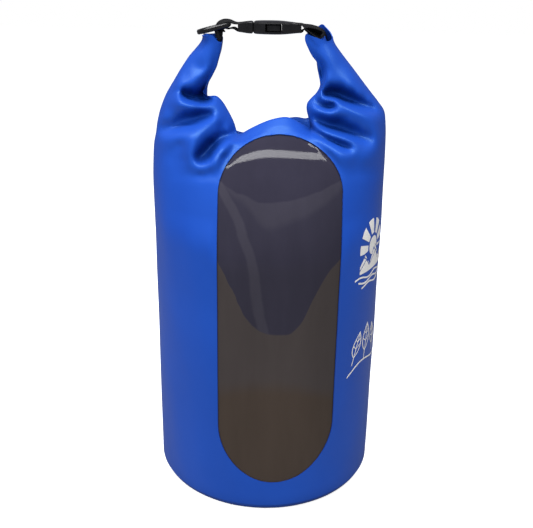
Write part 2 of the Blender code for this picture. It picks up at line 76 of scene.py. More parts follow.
# =============================================================================
# shader building
# =============================================================================
class Shader:
    """Adds nodes to a tree. An input given as a socket is linked, any other value is set."""

    def __init__(self, owner):
        owner.use_nodes = True
        self.tree = owner.node_tree

    def fill(self, target, **inputs):
        for key, value in inputs.items():
            socket = target.inputs[key.replace("_", " ")]
            if isinstance(value, bpy.types.NodeSocket):
                self.tree.links.new(value, socket)
            elif socket.type == "RGBA":
                socket.default_value = (*value, 1.0)
            else:
                socket.default_value = value

    def add(self, kind, settings=None, **inputs):
        made = self.tree.nodes.new("ShaderNode" + kind)
        for key, value in (settings or {}).items():
            setattr(made, key, value)
        self.fill(made, **inputs)
        return made

    def surface(self, **inputs):
        self.fill(self.tree.nodes["Principled BSDF"], **inputs)

    def place(self):
        return self.add("TexCoord").outputs["Object"]

    def noise(self, place, scale, detail, roughness=0.5):
        made = self.add("TexNoise", Vector=place, Scale=scale, Detail=detail, Roughness=roughness)
        return made.outputs["Fac"]

    def ramp(self, source, low, low_colour, high, high_colour):
        made = self.add("ValToRGB", Fac=source)
        stops = ((low, low_colour), (high, high_colour))
        for element, (position, colour) in zip(made.color_ramp.elements, stops):
            element.position = position
            element.color = (*colour, 1.0)
        return made.outputs["Color"]

    def spread(self, source, low, high):
        """Stretches 0..1 to low..high."""
        return self.add("MapRange", Value=source, To_Min=low, To_Max=high).outputs["Result"]

    def step(self, source, start, end, low=0.0, high=1.0):
        """A smooth step from low to high as the source goes from start to end."""
        made = self.add(
            "MapRange", {"interpolation_type": "SMOOTHSTEP"},
            Value=source, From_Min=start, From_Max=end, To_Min=low, To_Max=high,
        )
        return made.outputs["Result"]

    def math(self, operation, *values):
        made = self.add("Math", {"operation": operation})
        for socket, value in zip(made.inputs, values):
            if isinstance(value, bpy.types.NodeSocket):
                self.tree.links.new(value, socket)
            else:
                socket.default_value = value
        return made.outputs[0]

    def mix(self, factor, first, second, blend="MIX"):
        settings = {"data_type": "RGBA", "blend_type": blend}
        return self.add("Mix", settings, Factor=factor, A=first, B=second).outputs["Result"]

    def bump(self, height, strength, distance, under=None):
        made = self.add("Bump", Strength=strength, Distance=distance, Height=height)
        if under is not None:
            self.fill(made, Normal=under)
        return made.outputs["Normal"]

    def weave(self, scale_x, scale_y, distortion, detail=2.0):
        """Crossed bands in the sheet's own directions."""
        flat = self.add("Attribute", {"attribute_name": "flat"}).outputs["Vector"]
        bands = [
            self.add(
                "TexWave", {"bands_direction": direction},
                Vector=flat, Scale=scale, Distortion=distortion, Detail=detail,
            ).outputs["Fac"]
            for direction, scale in (("X", scale_x), ("Y", scale_y))
        ]
        return self.math("MULTIPLY", *bands)

    def curve(self, source, points):
        """A smooth curve through (input, output) points in metres, which span its inputs."""
        base, span = -0.1, 0.5  # outputs the curve can hold
        first, last = points[0][0], points[-1][0]
        scaled = self.add("MapRange", Value=source, From_Min=first, From_Max=last)
        made = self.add("FloatCurve", Value=scaled.outputs["Result"])
        line = made.mapping.curves[0]
        spots = [((x - first) / (last - first), (z - base) / span) for x, z in points]
        line.points[0].location = spots[0]
        line.points[1].location = spots[-1]
        for spot in spots[1:-1]:
            line.points.new(*spot)
        made.mapping.update()
        return self.math("MULTIPLY_ADD", made.outputs["Value"], span, base)


def new_material(name):
    mat = bpy.data.materials.new(name)
    return mat, Shader(mat)


# =============================================================================
# materials
# =============================================================================
def pvc_material(name, base, dark):
    mat, shader = new_material(name)
    place = shader.place()
    broad = shader.noise(place, scale=9.0, detail=3.0, roughness=0.55)
    colour = shader.ramp(broad, 0.30, dark, 0.72, base)
    # the scrim shows through the coating as a fine square weave
    scrim = shader.weave(scale_x=260.0, scale_y=260.0, distortion=0.6, detail=1.0)
    grain = shader.noise(place, scale=1400.0, detail=2.0, roughness=0.6)
    swell = shader.noise(place, scale=42.0, detail=2.0)
    normal = shader.bump(scrim, strength=0.10, distance=0.00012)
    normal = shader.bump(grain, strength=0.16, distance=0.00008, under=normal)
    normal = shader.bump(swell, strength=0.10, distance=0.0012, under=normal)
    # painted shade: ambient occlusion darkens the base colour and the specular in the folds and
    # creases
    fold_occlusion = shader.add("AmbientOcclusion", {"samples": 8}, Distance=0.034, Normal=normal)
    painted_fold_shade = shader.step(fold_occlusion.outputs["AO"], start=0.25, end=0.90, low=0.53)
    shader.surface(
        Base_Color=shader.mix(1.0, colour, painted_fold_shade, "MULTIPLY"),
        Roughness=shader.spread(broad, 0.40, 0.52),
        Specular_IOR_Level=shader.math("MULTIPLY", painted_fold_shade, 0.46),
        Specular_Tint=(0.42, 0.90, 1.0),
        Normal=normal,
    )
    return mat


# lines across the window film where its tint, painted shade and painted reflections change, metres:
# (x, z), and for the slanting band's middle (z, x)
FILM_FOOT = [(-0.06, 0.130), (-0.042, 0.1364), (0.0064, 0.1462), (0.071, 0.1247), (0.08, 0.120)]
FILM_TONGUE = [
    (-0.06, 0.290), (-0.0482, 0.2757), (-0.0323, 0.2458), (-0.0163, 0.2142), (0.0054, 0.2006),
    (0.0305, 0.2096), (0.0447, 0.2383), (0.0572, 0.2602), (0.0674, 0.2708), (0.08, 0.285),
]
FILM_BAND = [
    (0.19, 0.0), (0.2077, -0.0041), (0.2409, -0.0101), (0.2767, -0.0159), (0.3072, -0.0272),
    (0.3326, -0.0423), (0.345, -0.052),
]
FILM_ARC = [
    (-0.06, 0.350), (-0.0491, 0.3426), (-0.0258, 0.3306), (0.0031, 0.3252), (0.0327, 0.3295),
    (0.0643, 0.3403), (0.08, 0.348),
]
FILM_PALE_REFLECTION = [
    (-0.06, 0.36), (-0.040, 0.334), (-0.0183, 0.3188), (-0.0055, 0.3058), (0.0035, 0.3026),
    (0.0195, 0.3075), (0.0467, 0.3178), (0.07, 0.336), (0.08, 0.35),
]
# the film's own smoky tint, and the colours of its painted shade and painted reflections
FILM_TONES = {
    "foot": (0.054, 0.040, 0.032),
    "lower": (0.053, 0.044, 0.043),
    "tongue": (0.029, 0.027, 0.042),
    "top": (0.027, 0.025, 0.040),
    "pale": (0.044, 0.041, 0.056),
}


def film_material():
    """Smoky clear film: its tint changes over the height, with soft-edged patches of painted shade
    and painted reflection.
    """
    mat, shader = new_material("smoky_window_film")
    place = shader.place()
    axes = shader.add("SeparateXYZ", Vector=place).outputs
    wobble = shader.noise(place, scale=38.0, detail=2.0)
    shake = shader.math("MULTIPLY_ADD", wobble, 0.008, -0.004)  # +-4 mm
    x = shader.math("ADD", axes["X"], shader.math("MULTIPLY", shake, 0.5))
    z = shader.math("ADD", axes["Z"], shake)

    def above(line, start, end):
        return shader.step(shader.math("SUBTRACT", z, line), start, end)

    foot = shader.curve(x, FILM_FOOT)
    tone = shader.mix(above(foot, -0.010, 0.012), FILM_TONES["foot"], FILM_TONES["lower"])
    # painted shade: a darker, bluish tongue that hangs down from the top
    tongue = shader.curve(x, FILM_TONGUE)
    tone = shader.mix(above(tongue, -0.0008, 0.0016), tone, FILM_TONES["tongue"])
    # painted reflection: a paler slanting band across it
    off = shader.math("ABSOLUTE", shader.math("SUBTRACT", x, shader.curve(z, FILM_BAND)))
    near = shader.math("SUBTRACT", 1.0, shader.step(off, 0.0032, 0.0062))
    slant = shader.math("MULTIPLY", near, above(tongue, -0.0008, 0.0016))
    tone = shader.mix(shader.math("MULTIPLY", slant, 0.75), tone, FILM_TONES["pale"])
    # painted shade of the shoulder above, with a pale painted reflection below its edge
    arc = shader.curve(x, FILM_ARC)
    pale_reflection = above(shader.curve(x, FILM_PALE_REFLECTION), -0.003, 0.006)
    tone = shader.mix(shader.math("MULTIPLY", pale_reflection, 0.55), tone, FILM_TONES["pale"])
    tone = shader.mix(above(arc, -0.0008, 0.0014), tone, FILM_TONES["top"])
    # upright streaks of haze
    tall = shader.add("Mapping", Vector=place, Scale=(1.0, 1.0, 0.22)).outputs["Vector"]
    haze = shader.noise(tall, scale=26.0, detail=4.0, roughness=0.6)
    streaks = shader.ramp(haze, 0.25, (0.86, 0.86, 0.86), 0.75, (1.12, 1.12, 1.12))

    wavy = shader.noise(place, scale=16.0, detail=1.5, roughness=0.45)
    scuff = shader.noise(place, scale=420.0, detail=3.0, roughness=0.7)
    normal = shader.bump(wavy, strength=0.10, distance=0.0010)
    shader.surface(
        Base_Color=shader.mix(1.0, tone, streaks, "MULTIPLY"),
        Roughness=shader.spread(scuff, 0.035, 0.07),
        Specular_IOR_Level=0.09,
        Alpha=0.96,
        Normal=shader.bump(scuff, strength=0.03, distance=0.0001, under=normal),
    )
    return mat


def plastic_material():
    mat, shader = new_material("black_acetal")
    place = shader.place()
    grain = shader.noise(place, scale=900.0, detail=3.0, roughness=0.6)
    wear = shader.noise(place, scale=70.0, detail=4.0, roughness=0.65)
    shader.surface(
        Base_Color=shader.ramp(wear, 0.35, (0.0045, 0.0045, 0.005), 0.75, (0.0105, 0.0105, 0.012)),
        Roughness=shader.spread(wear, 0.30, 0.46),
        Specular_IOR_Level=0.40,
        Normal=shader.bump(grain, strength=0.12, distance=0.00008),
    )
    return mat


def webbing_material():
    mat, shader = new_material("black_webbing_weave")
    weave = shader.weave(scale_x=165.0, scale_y=330.0, distortion=1.2)
    shader.surface(
        Base_Color=shader.ramp(weave, 0.0, (0.0025, 0.0025, 0.003), 0.9, (0.011, 0.011, 0.012)),
        Roughness=0.78,
        Specular_IOR_Level=0.22,
        Normal=shader.bump(weave, strength=0.55, distance=0.0003),
    )
    return mat


def print_material():
    mat, shader = new_material("white_ink")
    grain = shader.noise(shader.place(), scale=800.0, detail=3.0, roughness=0.6)
    shader.surface(
        Base_Color=shader.ramp(grain, 0.25, (0.66, 0.65, 0.64), 0.6, (0.84, 0.82, 0.80)),
        Roughness=0.55,
        Normal=shader.bump(grain, strength=0.2, distance=0.00005),
    )
    return mat


def strip_material():
    mat, shader = new_material("stiffener_strip")
    grain = shader.noise(shader.place(), scale=300.0, detail=2.0)
    shader.surface(
        Base_Color=shader.ramp(grain, 0.3, (0.42, 0.42, 0.40), 0.7, (0.55, 0.55, 0.52)),
        Roughness=0.5,
    )
    return mat


def floor_material():
    """Near white to the camera, mid grey to bounced light."""
    mat, shader = new_material("pale_floor")
    speck = shader.noise(shader.place(), scale=6.0, detail=2.0)
    tone = shader.ramp(speck, 0.3, (0.86, 0.86, 0.86), 0.7, (0.90, 0.90, 0.90))
    camera_ray = shader.add("LightPath").outputs["Is Camera Ray"]
    shader.surface(
        Base_Color=shader.mix(camera_ray, (0.30, 0.29, 0.28), tone),
        Roughness=0.6,
        Emission_Color=tone,
        Emission_Strength=shader.math("MULTIPLY", camera_ray, 0.80),
    )
    return mat


PVC = pvc_material("pvc_tarpaulin_blue", base=(0.0085, 0.062, 0.415), dark=(0.0065, 0.051, 0.36))
PVC_INSIDE = pvc_material(
    "pvc_tarpaulin_inside", base=(0.008, 0.055, 0.42), dark=(0.006, 0.045, 0.36)
)
FILM = film_material()
PLASTIC = plastic_material()
WEBBING = webbing_material()
INK = print_material()
STRIP = strip_material()


# =============================================================================
# mesh helpers
# =============================================================================
def mesh_object(name, verts, faces, mat, flat=None):
    """flat holds each vertex's place on the unrolled sheet, for the weaves."""
    mesh = bpy.data.meshes.new(name)
    mesh.from_pydata([tuple(v) for v in verts], [], [tuple(int(i) for i in f) for f in faces])
    mesh.update()
    if flat is not None:
        data = mesh.attributes.new("flat", "FLOAT_VECTOR", "POINT")
        data.data.foreach_set("vector", np.asarray(flat, np.float32).ravel())
    thing = bpy.data.objects.new(name, mesh)
    bpy.context.scene.collection.objects.link(thing)
    mesh.materials.append(mat)
    return thing


@contextmanager
def editing(mesh):
    """Opens a mesh for editing and writes it back."""
    made = bmesh.new()
    made.from_mesh(mesh)
    yield made
    made.to_mesh(mesh)
    made.free()


def bake(thing):
    """Applies the modifiers, so that the mesh is final."""
    bpy.context.view_layer.update()
    graph = bpy.context.evaluated_depsgraph_get()
    mesh = bpy.data.meshes.new_from_object(
        thing.evaluated_get(graph), preserve_all_data_layers=True, depsgraph=graph
    )
    thing.modifiers.clear()
    thing.data = mesh


def smooth(thing, angle):
    thing.data.shade_smooth()
    thing.data.set_sharp_from_angle(angle=math.radians(angle))


def thicken(thing, thickness, offset, angle, **settings):
    """Gives a sheet its thickness, then smooths edges below the angle (degrees)."""
    solid = thing.modifiers.new("solid", "SOLIDIFY")
    solid.thickness = thickness
    solid.offset = offset
    for key, value in settings.items():
        setattr(solid, key, value)
    bake(thing)
    smooth(thing, angle)


def quads_of(ids):
    """Quads between the points of a grid of vertex numbers."""
    corners = [ids[:-1, :-1], ids[:-1, 1:], ids[1:, 1:], ids[1:, :-1]]
    return np.stack(corners, -1).reshape(-1, 4)


def grid_ids(rows, cols):
    return np.arange(rows * cols).reshape(rows, cols)


def triangles_of(quads):
    return np.concatenate([quads[:, [0, 1, 2]], quads[:, [0, 2, 3]]])


def box_mesh(x_ends, y_ends, z_ends):
    verts = [(x, y, z) for x in x_ends for y in y_ends for z in z_ends]
    faces = [(0, 1, 3, 2), (4, 6, 7, 5), (0, 4, 5, 1), (2, 3, 7, 6), (0, 2, 6, 4), (1, 5, 7, 3)]
    return verts, faces


def clip(verts, tris, extra, gap):
    """Cuts triangles along gap = 0 and keeps gap > 0; extra is carried along per vertex.

    Returns the vertices, faces, extra and the numbers of the triangles that were kept.
    """
    verts, extra, gap = list(map(np.array, verts)), list(map(np.array, extra)), list(gap)
    crossings, faces, kept = {}, [], []

    def crossing(start, end):
        key = (min(start, end), max(start, end))
        if key not in crossings:
            share = gap[start] / (gap[start] - gap[end])
            verts.append(verts[start] + (verts[end] - verts[start]) * share)
            extra.append(extra[start] + (extra[end] - extra[start]) * share)
            gap.append(0.0)
            crossings[key] = len(verts) - 1
        return crossings[key]

    for number, tri in enumerate(tris):
        inside = [gap[i] > 0 for i in tri]
        if all(inside):
            faces.append(tuple(tri))
            kept.append(number)
        elif any(inside):
            outline = []
            for start, end in zip(tri, (tri[1], tri[2], tri[0])):
                if gap[start] > 0:
                    outline.append(start)
                if (gap[start] > 0) != (gap[end] > 0):
                    outline.append(crossing(start, end))
            faces.append(tuple(outline))
            kept.append(number)
    return np.array(verts), faces, np.array(extra), kept


def compact(verts, faces, extra):
    """Drops vertices that no face uses."""
    used = sorted({i for face in faces for i in face})
    new = {old: i for i, old in enumerate(used)}
    return verts[used], [tuple(new[i] for i in face) for face in faces], extra[used]


def snap(verts, gap_of, size):
    """Moves points that nearly touch the cut line onto it, so that no slivers are made."""
    gap = gap_of(verts)
    near = np.abs(gap) < size
    probe = 1e-5
    pts = verts[near]
    slope = np.stack(
        [(gap_of(pts + axis * probe) - gap_of(pts - axis * probe)) / (2 * probe)
         for axis in np.eye(3)], -1,
    )
    move = slope * (gap[near] / np.maximum((slope**2).sum(-1), 1e-6))[:, None]
    move = np.where(np.linalg.norm(move, axis=1)[:, None] > 2 * size, 0, move)
    verts = verts.copy()
    verts[near] = pts - move
    gap = gap_of(verts)
    gap[np.abs(gap) < size * 0.25] = 0.0
    return verts, gap


# =============================================================================
# curves and easing
# =============================================================================
def table(rows):
    """Smooth interpolation of rows (station, a, b, ...), by station, through a local cubic."""
    data = np.array(rows, float)
    station, value = data[:, 0], data[:, 1:]
    slope = np.zeros_like(value)
    slope[1:-1] = (value[2:] - value[:-2]) / (station[2:] - station[:-2])[:, None]
    slope[0] = (value[1] - value[0]) / (station[1] - station[0])
    slope[-1] = (value[-1] - value[-2]) / (station[-1] - station[-2])

    def at(query):
        query = np.clip(np.asarray(query, float), station[0], station[-1])
        i = np.clip(np.searchsorted(station, query, side="right") - 1, 0, len(station) - 2)
        gap = station[i + 1] - station[i]
        t = ((query - station[i]) / gap)[..., None]
        gap = gap[..., None]
        return (
            (2 * t**3 - 3 * t**2 + 1) * value[i]
            + (t**3 - 2 * t**2 + t) * gap * slope[i]
            + (-2 * t**3 + 3 * t**2) * value[i + 1]
            + (t**3 - t**2) * gap * slope[i + 1]
        )

    return at


def path_lengths(points):
    steps = np.linalg.norm(np.diff(points, axis=0), axis=1)
    return np.concatenate([[0.0], np.cumsum(steps)])


def smooth_path(rows):
    """A smooth line by its length; the first two columns are its place. Also gives the length."""
    rows = np.array(rows, float)
    run = path_lengths(rows[:, :2])
    return table(np.column_stack([run, rows])), run[-1]


def ease(t):
    t = np.clip(t, 0.0, 1.0)
    return t * t * (3 - 2 * t)


def bezier(p0, p1, p2, p3, t):
    t = np.asarray(t)[..., None]
    return (1 - t) ** 3 * p0 + 3 * (1 - t) ** 2 * t * p1 + 3 * (1 - t) * t * t * p2 + t**3 * p3


# =============================================================================
# the fabric's design lines, mm; s runs along the flattened lip from its middle
# =============================================================================
S_EDGE = 183.8  # s at the side fold
S_OPEN = 148.5  # beyond this the sheet ends at the horn's open top

# the fold line of each sheet: s, x, y, z
FOLD_FRONT = [
    (-183.8, -65.7, 0.0, 462.6), (-175.0, -66.4, -8.5, 462.7), (-168.5, -65.2, -15.0, 463.3),
    (-164.0, -61.0, -17.6, 464.2), (-159.0, -55.6, -17.6, 464.4), (-154.5, -52.4, -17.2, 461.2),
    (-151.5, -49.8, -16.4, 458.8), (-148.5, -47.0, -15.4, 458.0), (-144.0, -47.2, -15.0, 455.6),
    (-139.0, -47.6, -15.0, 453.2), (-134.0, -48.0, -15.0, 450.4), (-128.5, -49.4, -15.0, 445.5),
    (-122.7, -50.9, -15.0, 440.0), (-116.8, -52.4, -15.0, 434.4), (-110.4, -55.3, -15.0, 428.7),
    (-104.0, -58.2, -15.0, 423.1), (-97.2, -62.1, -15.0, 417.3), (-91.0, -64.6, -15.0, 411.6),
    (-85.6, -60.6, -16.0, 408.6), (-78.0, -52.4, -17.0, 408.8), (-70.6, -46.6, -18.0, 404.3),
    (-60.0, -40.7, -20.0, 395.6), (-47.4, -34.8, -22.0, 384.5), (-36.5, -31.0, -24.0, 373.6),
    (-32.0, -27.8, -26.0, 374.3), (-20.5, -18.1, -30.0, 380.4), (-6.5, -5.7, -32.0, 386.7),
    (5.6, 5.7, -34.0, 391.0), (17.1, 17.1, -34.0, 392.2), (30.0, 28.8, -31.0, 386.6),
    (41.5, 38.8, -27.0, 380.8), (46.0, 40.4, -24.6, 380.8), (55.0, 37.7, -23.0, 388.7),
    (64.0, 35.1, -21.0, 397.0), (71.0, 35.5, -19.0, 403.4), (77.5, 39.2, -17.0, 407.9),
    (84.5, 43.9, -16.0, 412.6), (91.5, 47.1, -15.0, 418.2), (95.8, 47.5, -15.0, 422.0),
    (105.0, 45.7, -15.0, 430.4), (116.5, 43.9, -15.0, 440.6), (125.5, 38.9, -15.0, 447.0),
    (134.5, 34.8, -15.0, 454.2), (143.0, 31.7, -15.0, 461.4), (148.5, 32.3, -15.5, 466.0),
    (153.0, 36.5, -17.4, 465.6), (162.0, 47.0, -17.4, 462.4), (168.0, 53.0, -15.0, 460.8),
    (175.0, 57.0, -9.0, 461.6), (183.8, 59.0, 0.0, 464.0),
]
FOLD_BACK = [
    (-183.8, -65.7, 0.0, 462.6), (-175.0, -66.4, 8.5, 462.7), (-167.0, -66.2, 15.0, 462.9),
    (-162.0, -62.5, 17.6, 463.2), (-153.0, -52.5, 17.6, 464.2), (-148.5, -48.5, 15.5, 464.0),
    (-140.0, -49.0, 15.0, 455.5), (-128.0, -52.5, 15.0, 444.0), (-116.0, -56.0, 15.5, 434.0),
    (-104.0, -61.0, 16.0, 424.0), (-94.0, -66.0, 16.0, 414.5), (-84.0, -66.0, 17.0, 405.0),
    (-72.0, -60.0, 18.5, 395.0), (-60.0, -52.5, 20.0, 385.0), (-48.0, -43.0, 22.0, 375.0),
    (-36.0, -31.5, 25.0, 367.0), (-20.0, -17.0, 28.0, 366.0), (0.0, 1.5, 30.0, 371.5),
    (12.0, 13.0, 30.5, 379.0), (24.0, 26.0, 30.0, 381.8), (36.0, 37.0, 28.0, 381.5),
    (46.0, 43.0, 25.0, 385.5), (58.0, 46.5, 22.0, 396.0), (70.0, 50.5, 19.0, 408.0),
    (82.0, 53.0, 17.0, 419.0), (92.0, 51.0, 16.0, 429.0), (104.0, 48.0, 15.5, 439.0),
    (116.0, 43.0, 15.0, 448.0), (128.0, 38.5, 15.0, 455.5), (140.0, 35.0, 15.0, 461.5),
    (148.5, 34.0, 15.5, 465.0), (153.0, 38.0, 17.6, 466.6), (162.0, 46.4, 17.6, 472.6),
    (168.0, 50.0, 16.0, 474.3), (175.0, 53.6, 10.0, 471.6), (179.5, 57.0, 5.0, 468.0),
    (183.8, 59.0, 0.0, 464.0),
]
# the side folds, from the ring up: x, z
SIDE_LEFT = [
    (-117.0, 270.0), (-117.3, 300.0), (-117.6, 325.0), (-116.9, 345.0), (-115.6, 362.0),
    (-113.4, 371.5), (-112.0, 381.3), (-109.4, 391.3), (-106.1, 400.1), (-101.9, 409.0),
    (-94.7, 420.7), (-87.5, 432.2), (-79.5, 443.7), (-73.5, 450.5), (-67.7, 457.5),
    (-65.7, 462.6),
]
SIDE_RIGHT = [
    (117.0, 270.0), (116.8, 300.0), (116.5, 325.0), (116.4, 346.8), (116.1, 365.1),
    (115.4, 381.0), (113.4, 394.0), (106.4, 403.7), (99.0, 412.3), (89.4, 423.7), (80.0, 435.0),
    (70.5, 446.1), (63.6, 454.6), (60.4, 459.6), (59.0, 464.0),
]
# how the sheet reaches the fold: s, degrees from straight down to straight outwards, reach
ARRIVE = [
    (-183.8, 20, 20), (-160.0, 22, 20), (-149.0, 50, 18), (-138.0, 68, 17), (-110.0, 74, 19),
    (-92.0, 80, 22), (-84.0, 45, 22), (-76.0, 36, 24), (-66.0, 62, 26), (-50.0, 76, 26),
    (-38.0, 52, 18), (-31.0, 14, 18), (-18.0, 0, 24), (10.0, 0, 30), (34.0, 0, 24),
    (42.0, 8, 18), (47.0, 50, 16), (56.0, 80, 24), (68.0, 60, 26), (78.0, 50, 26),
    (88.0, 70, 22), (100.0, 92, 20), (118.0, 62, 18), (138.0, 60, 17), (149.0, 46, 18),
    (160.0, 22, 20), (183.8, 20, 20),
]
# the rolled lip's middle line, the same on both sides: s, x, z
LIP_LINE = [
    (0.0, 0.0, 333.0), (22.0, 22.0, 333.7), (43.3, 42.0, 341.0), (65.9, 58.0, 357.0),
    (91.5, 69.0, 380.0), (115.7, 72.5, 404.0), (137.9, 69.5, 426.0), (157.0, 63.0, 444.0),
    (173.6, 56.0, 459.0), (184.0, 52.0, 468.6),
]

fold_front, fold_back = table(FOLD_FRONT), table(FOLD_BACK)
arrive, lip_line = table(ARRIVE), table(LIP_LINE)


# =============================================================================
# the shoulder sheets; face is -1 at the front and +1 at the back,
# across goes from -1 (left side fold) to 1 (right), rise from 0 (ring) to 1 (fold line)
# =============================================================================
SWELL, SWELL_CREST = 2.0, 0.6  # how strongly the sheet bulges, and more so at the middle


def side_correction(side, rise):
    """How far the sheet's edge moves to follow the side fold's own line."""
    start = np.array([side * RADIUS, 0.0, RING_Z])
    end = fold_front(side * S_EDGE) * MM
    degrees, reach = arrive(side * S_EDGE)
    turn = math.radians(degrees)
    toward = np.array([side * math.sin(turn), 0.0, -math.cos(turn)]) * reach * MM
    line = bezier(start, start + np.array([0, 0, 0.060]), end + toward, end, rise)
    run = path_lengths(line)
    at, length = smooth_path(np.array(SIDE_LEFT if side < 0 else SIDE_RIGHT) * MM)
    want = at(run / run[-1] * length)
    return np.stack([want[:, 0] - line[:, 0], np.zeros(len(rise)), want[:, 1] - line[:, 2]], -1)


def draped(face, across, rise):
    """First shape of the shoulder fabric, rows by rise and columns by across."""
    u = across[None, :] * np.ones((len(rise), 1))
    t = rise[:, None] * np.ones((1, len(across)))
    s = u * HALF_WIDTH / MM
    angle = u * math.pi / 2
    zero = np.zeros_like(u)
    start = np.stack(
        [RADIUS * np.sin(angle), face * RADIUS * np.cos(angle), np.full_like(u, RING_Z)], -1
    )
    end = (fold_front if face < 0 else fold_back)(s) * MM
    bend = arrive(s)
    turn, reach = np.radians(bend[..., 0]), bend[..., 1] * MM
    if face < 0:
        crest = 1.0 - ease((np.abs(s - 5) - 24) / 24)
    else:
        crest = 1.0 - ease((np.abs(s) - 30) / 40)
    wide = 1.0 - ease((np.abs(s - 5) - 22) / 84)
    toward = np.stack([np.where(u < 0, -1.0, 1.0) * np.sin(turn), zero, -np.cos(turn)], -1)
    upper = end + toward * (reach * (1 - 0.80 * crest))[..., None]
    upper[..., 1] += face * (0.0045 + 0.0275 * wide) * (1 - u**6)
    lower = start + np.stack([zero, zero, 0.060 + 0.030 * wide], -1)
    pts = bezier(start, lower, upper, end, t)
    for side in (-1.0, 1.0):
        weight = ease((side * u - 0.55) / 0.45)
        pts += side_correction(side, rise)[:, None, :] * weight[..., None]
    return pts


def neighbour_sum(field, row_weight, mixed, col_weight):
    """The weighted neighbours of each inner point, for evening out a curved grid."""
    corners = field[2:, 2:] - field[2:, :-2] - field[:-2, 2:] + field[:-2, :-2]
    return (
        row_weight * (field[1:-1, 2:] + field[1:-1, :-2])
        + col_weight * (field[2:, 1:-1] + field[:-2, 1:-1])
        - 0.5 * mixed * corners
    )


def relax(grid, depth2, source, rounds):
    """Evens out a sheet seen from the front, in place.

    grid holds x and z, depth2 the depth squared. The edges stay; depth2 bulges by source.
    """
    for _ in range(rounds):
        along_row = (grid[1:-1, 2:] - grid[1:-1, :-2]) / 2
        along_col = (grid[2:, 1:-1] - grid[:-2, 1:-1]) / 2
        row_weight = (along_col**2).sum(-1)
        col_weight = (along_row**2).sum(-1)
        mixed = (along_row * along_col).sum(-1)
        area = along_row[..., 0] * along_col[..., 1] - along_row[..., 1] * along_col[..., 0]
        total = 2 * (row_weight + col_weight) + 1e-18
        weights = (row_weight, mixed, col_weight)
        inner = neighbour_sum(grid, *(w[..., None] for w in weights)) / total[..., None]
        bulge = neighbour_sum(depth2, *weights) + area**2 * source[1:-1, 1:-1]
        grid[1:-1, 1:-1] = inner
        depth2[1:-1, 1:-1] = bulge / total


def refined(coarse, rows, cols, row_step, col_step):
    """Brings a thinned grid back to its full number of rows and columns."""
    row, col = np.arange(rows) / row_step, np.arange(cols) / col_step
    r0 = np.minimum(row.astype(int), coarse.shape[0] - 2)
    c0 = np.minimum(col.astype(int), coarse.shape[1] - 2)
    fr, fc = (row - r0)[:, None, None], (col - c0)[None, :, None]
    return (
        coarse[r0][:, c0] * (1 - fr) * (1 - fc) + coarse[r0 + 1][:, c0] * fr * (1 - fc)
        + coarse[r0][:, c0 + 1] * (1 - fr) * fc + coarse[r0 + 1][:, c0 + 1] * fr * fc
    )


def inflated(face, across, rise):
    """The shoulder as an evenly inflated surface between ring, side folds and fold line."""
    raw = draped(face, across, rise)
    grid, depth2 = raw[..., [0, 2]].copy(), raw[..., 1] ** 2
    s = across * HALF_WIDTH / MM
    crest = 1.0 - ease((np.abs(s - 5) - 30) / 60)
    source = np.ones((len(rise), 1)) * (SWELL + SWELL_CREST * crest)[None, :]
    # most of the work is done on a thinned grid
    row_step, col_step = 5, 4
    thin = (slice(None, None, row_step), slice(None, None, col_step))
    thin_grid, thin_depth2 = grid[thin].copy(), depth2[thin].copy()
    relax(thin_grid, thin_depth2, source[thin], 1500)
    coarse = np.concatenate([thin_grid, thin_depth2[..., None]], -1)
    full = refined(coarse, len(rise), len(across), row_step, col_step)
    grid[1:-1, 1:-1], depth2[1:-1, 1:-1] = full[1:-1, 1:-1, :2], full[1:-1, 1:-1, 2]
    relax(grid, depth2, source, 260)
    # it leaves the tube without a kink
    tube = np.sqrt(np.maximum(RADIUS**2 - grid[..., 0] ** 2, 0))
    free = ease((grid[..., 1] - RING_Z) / (0.040 if face < 0 else 0.100))
    depth = tube * (1 - free) + np.sqrt(np.maximum(depth2, 0)) * free
    return np.stack([grid[..., 0], face * depth, grid[..., 1]], -1)


def closing_strip(across, over):
    """The strip over the roll, from the front fold (over = 0) to the back fold (over = 1)."""
    s = across * HALF_WIDTH / MM
    front, back = fold_front(s) * MM, fold_back(s) * MM
    side = np.sign(s + 1e-12)
    line = lip_line(np.abs(s))
    ahead, behind = lip_line(np.abs(s) + 0.5), lip_line(np.maximum(np.abs(s) - 0.5, 0))
    tangent = np.stack([(ahead[:, 0] - behind[:, 0]) * side, ahead[:, 1] - behind[:, 1]], -1)
    tangent /= np.linalg.norm(tangent, axis=1)[:, None]
    # towards the inside of the U that the lip forms
    inward = np.stack([-tangent[:, 1] * side, np.zeros(len(s)), tangent[:, 0] * side], -1)
    coil = np.stack([side * line[:, 0] * MM, np.zeros(len(s)), line[:, 1] * MM], -1)
    coil += inward * 0.0094
    half_gap = np.array([0.0, 0.0130, 0.0])
    # on the horns the strip just spans from front to back
    high = ease((np.abs(s) - 84) / 18)[:, None]
    # it bows out, except where the buckle's end comes down beside the right horn
    bow = 0.0012 - 0.0060 * np.exp(-(((s - 131) / 12) ** 2))
    bulge = inward * bow[:, None]
    near = (coil - half_gap) * (1 - high) + (front * 0.70 + back * 0.30 + bulge) * high
    far = (coil + half_gap) * (1 - high) + (front * 0.30 + back * 0.70 + bulge) * high
    backward = np.array([0.0, 1.0, 0.0])
    near_pull = backward * np.linalg.norm(near - front, axis=1)[:, None]
    far_pull = backward * np.linalg.norm(far - back, axis=1)[:, None]
    rows = []
    for w in over:
        if w < 0.4:
            row = bezier(front, front + near_pull * 0.45, near - near_pull * 0.35, near, w / 0.4)
        elif w <= 0.6:
            t = (w - 0.4) / 0.2
            row = near * (1 - t) + far * t
        else:
            t = (w - 0.6) / 0.4
            row = bezier(far, far + far_pull * 0.35, back - far_pull * 0.45, back, t)
        rows.append(row)
    return np.array(rows)


